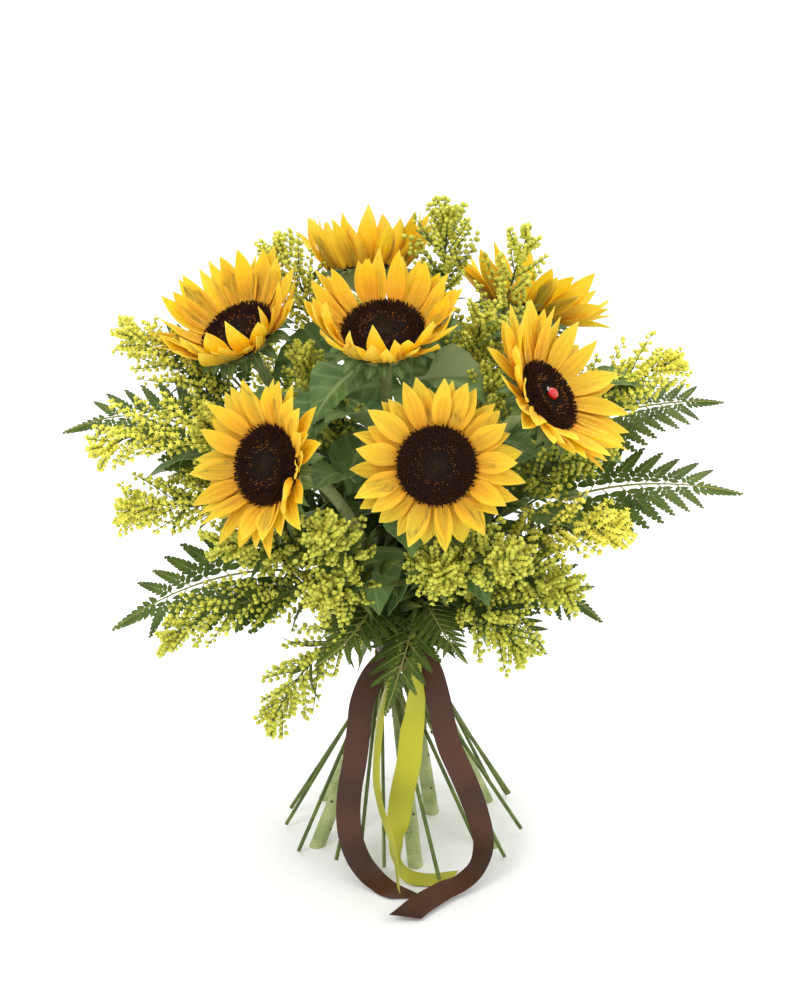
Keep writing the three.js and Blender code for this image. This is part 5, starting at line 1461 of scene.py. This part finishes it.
def satin_material(name, light, dark):
    """Satin: fine threads along the strip, a soft sheen and a broad gloss. Slow bands along the
    strip, mixing the dark colour into the light one, are painted sheen and shade.
    """
    made, tree, shader = material(name, 0.4, Sheen_Weight=0.06, Sheen_Roughness=0.4,
                                  Anisotropic=0.5, Specular_IOR_Level=0.35)
    u, v = tree.uv()
    threads = tree.node("ShaderNodeTexNoise", {"noise_dimensions": "1D"}, Scale=160.0, Detail=2.0,
                        W=u)
    weft = tree.node("ShaderNodeTexNoise", {"noise_dimensions": "1D"}, Scale=90.0, Detail=1.0, W=v)
    height = tree.math("ADD", threads.outputs[0], tree.math("MULTIPLY", weft.outputs[0], 0.5))
    # Slow bands along the strip that lighten and darken the satin: painted sheen and shade.
    painted_sheen_bands = tree.node("ShaderNodeTexNoise", {"noise_dimensions": "1D"}, Scale=0.45, Detail=0.0, W=v)
    share = tree.math("MULTIPLY", tree.smooth(height, 0.5, 0.95),
                      tree.smooth(painted_sheen_bands.outputs[0], 0.1, 0.7))
    colour = tree.mix(share, dark, light)
    tree.join(colour, shader.inputs["Base Color"])
    bump(tree, shader, height, 0.08, 0.0002)
    return made


def twine_material():
    """Dull fibre with fine strands."""
    made, tree, shader = material("twine", 0.9)
    strands = shared(tree, MOTTLE, Light=rgb(196, 170, 120), Dark=rgb(140, 114, 74), Scale=300.0,
                     Fine=0.6)
    tree.join(strands["Colour"], shader.inputs["Base Color"])
    bump(tree, shader, strands["Height"], 0.5, 0.0005)
    return made


def ladybird_material():
    """Glossy red paint with black and white."""
    made, tree, shader = material("ladybird", 0.18, Coat_Weight=0.6, Coat_Roughness=0.08)
    kind = tree.attribute("kind")
    colour = tree.mix(tree.smooth(kind, 0.35, 0.65), rgb(196, 22, 18), rgb(16, 12, 12))
    colour = tree.mix(tree.smooth(kind, 1.4, 1.6), colour, rgb(240, 240, 236))
    tree.join(colour, shader.inputs["Base Color"])
    return made


# Everything is made and put in place. The numbers that places are added to are seeds.
PETAL, DISC, GREEN = petal_material(), disc_material(), green_material()
GOLD, FERN, TWINE = goldenrod_material(), fern_material(), twine_material()
RED = ladybird_material()
# Each satin's light and dark colours are mixed by its threads and by painted sheen and shade along
# the strip.
SATINS = {"brown": satin_material("brown_satin", rgb(92, 52, 34), rgb(48, 27, 17)),
          "lime": satin_material("lime_satin", rgb(194, 192, 44), rgb(150, 150, 24))}

for row in BLOOMS:
    bloom = Bloom(row)
    node = "sunflower_" + bloom.name
    petals(bloom).piece(node + "_ray_petals", PETAL, "petal", [node + "_petals"])
    disc(bloom).piece(node + "_florets", DISC, "disc", [node + "_disc"])
    bloom_stem(bloom).piece(node + "_stem_leaves", GREEN, "stem_and_leaf", [node + "_stem"])
    if bloom.name == "right":
        ladybird(bloom).piece("ladybird_painted", RED, "ladybird", ["ladybird"])
for number, (name, tip, end, plume, cut) in enumerate(GOLDENROD):
    pile = Pile()
    goldenrod(pile, thin_path("goldenrod_" + name, tip, end, cut), plume, cut,
              OPENNESS.get(name, USUAL_OPENNESS), 20 + number)
    pile.piece("goldenrod_spray_" + name, GOLD, "goldenrod", ["goldenrod_" + name])
for number, (name, tip, end, frond, cut, look) in enumerate(FERNS):
    pile = Pile()
    fern(pile, thin_path("fern_" + name, tip, end, cut), frond, look, number)
    pile.piece("fern_frond_" + name, FERN, "fern", ["fern_" + name])
pile = Pile()
for number, (tip, end, frond, look) in enumerate(SIDE_FRONDS):
    fern(pile, side_path(tip, end), frond, look, 30 + number)
pile.piece("fern_side_fronds", FERN, "fern")
for number, (side, sprays) in enumerate(SIDE_SPRAYS.items()):
    pile = Pile()
    for place, (tip, end, plume) in enumerate(sprays):
        goldenrod(pile, side_path(tip, end), plume, STRAIGHT_TOP, SIDE_OPENNESS,
                  200 + 20 * number + place)
    pile.piece("goldenrod_side_sprays_" + side, GOLD, "goldenrod")
pile = Pile()
for place, (start, direction, length) in enumerate(FILLER_LEAVES):
    add_wide_leaf(pile, start, direction, length, 40 + place, chance(8, place))
for place, (start, direction, length, roll) in enumerate(FACING_LEAVES):
    add_wide_leaf(pile, start, direction, length, 70 + place, chance(9, place), roll)
pile.piece("inner_leaves", GREEN, "stem_and_leaf")
for name in RIBBONS:
    pile, length = ribbon(name)
    colour = name.split("_")[0]
    strip = pile.piece(name.replace("tail", "strip"), SATINS[colour], colour + "_satin", [name])
for name in BANDS:
    colour = name.split("_")[0]
    pile = ribbon_band(name)
    pile.piece(name + "_and_knot", SATINS[colour], colour + "_satin", [name])
twine().piece("twine_turns", TWINE, "twine", ["binding_twine"])

# The floor, light and camera of the photo.
FLOOR_HALF = 8
floor_mesh = bpy.data.meshes.new("floor")
floor_mesh.from_pydata([(-FLOOR_HALF, -FLOOR_HALF, 0), (FLOOR_HALF, -FLOOR_HALF, 0),
                        (FLOOR_HALF, FLOOR_HALF, 0), (-FLOOR_HALF, FLOOR_HALF, 0)], [],
                       [(0, 1, 2, 3)])
floor = bpy.data.objects.new("floor", floor_mesh)
bpy.context.scene.collection.objects.link(floor)
made, tree, shader = material("paper", 0.9)
shader.inputs["Base Color"].default_value = (0.95, 0.95, 0.95, 1)
floor_mesh.materials.append(made)

world = bpy.data.worlds.new("studio")
world.use_nodes = True
world.node_tree.nodes["Background"].inputs["Color"].default_value = (1, 1, 1, 1)
world.node_tree.nodes["Background"].inputs["Strength"].default_value = 1.06
bpy.context.scene.world = world

# The lamps face a point a little left of the bundle's axis, and the camera looks at it.
TARGET_LEFT = 3.85
TARGET_HEIGHT = 284.2
TARGET = Vector(((AXIS[0] - TARGET_LEFT) * MILLIMETRE, AXIS[1] * MILLIMETRE,
                 TARGET_HEIGHT * MILLIMETRE))


def lamp(name, place, energy, size):
    """A square area light that faces the middle of the bunch."""
    data = bpy.data.lights.new(name, "AREA")
    data.energy = energy
    data.size = size
    obj = bpy.data.objects.new(name, data)
    obj.location = place
    obj.rotation_euler = (TARGET - Vector(place)).to_track_quat("-Z", "Y").to_euler()
    bpy.context.scene.collection.objects.link(obj)


lamp("key", (-1.1, -1.5, 1.9), 17, 0.9)
lamp("fill", (1.6, -1.1, 1.2), 9, 1.4)
lamp("top", (0.2, 0.6, 2.0), 18, 1.2)

CAMERA_DISTANCE = 1.9
CAMERA_ELEVATION = math.radians(22)
camera_data = bpy.data.cameras.new("camera")
camera_data.lens = 88.83
camera_data.sensor_width = 36
camera = bpy.data.objects.new("camera", camera_data)
camera.location = TARGET + CAMERA_DISTANCE * Vector((0, -math.cos(CAMERA_ELEVATION),
                                                     math.sin(CAMERA_ELEVATION)))
camera.rotation_euler = (TARGET - camera.location).to_track_quat("-Z", "Y").to_euler()
bpy.context.scene.collection.objects.link(camera)
bpy.context.scene.camera = camera
bpy.context.scene.view_settings.view_transform = "Standard"
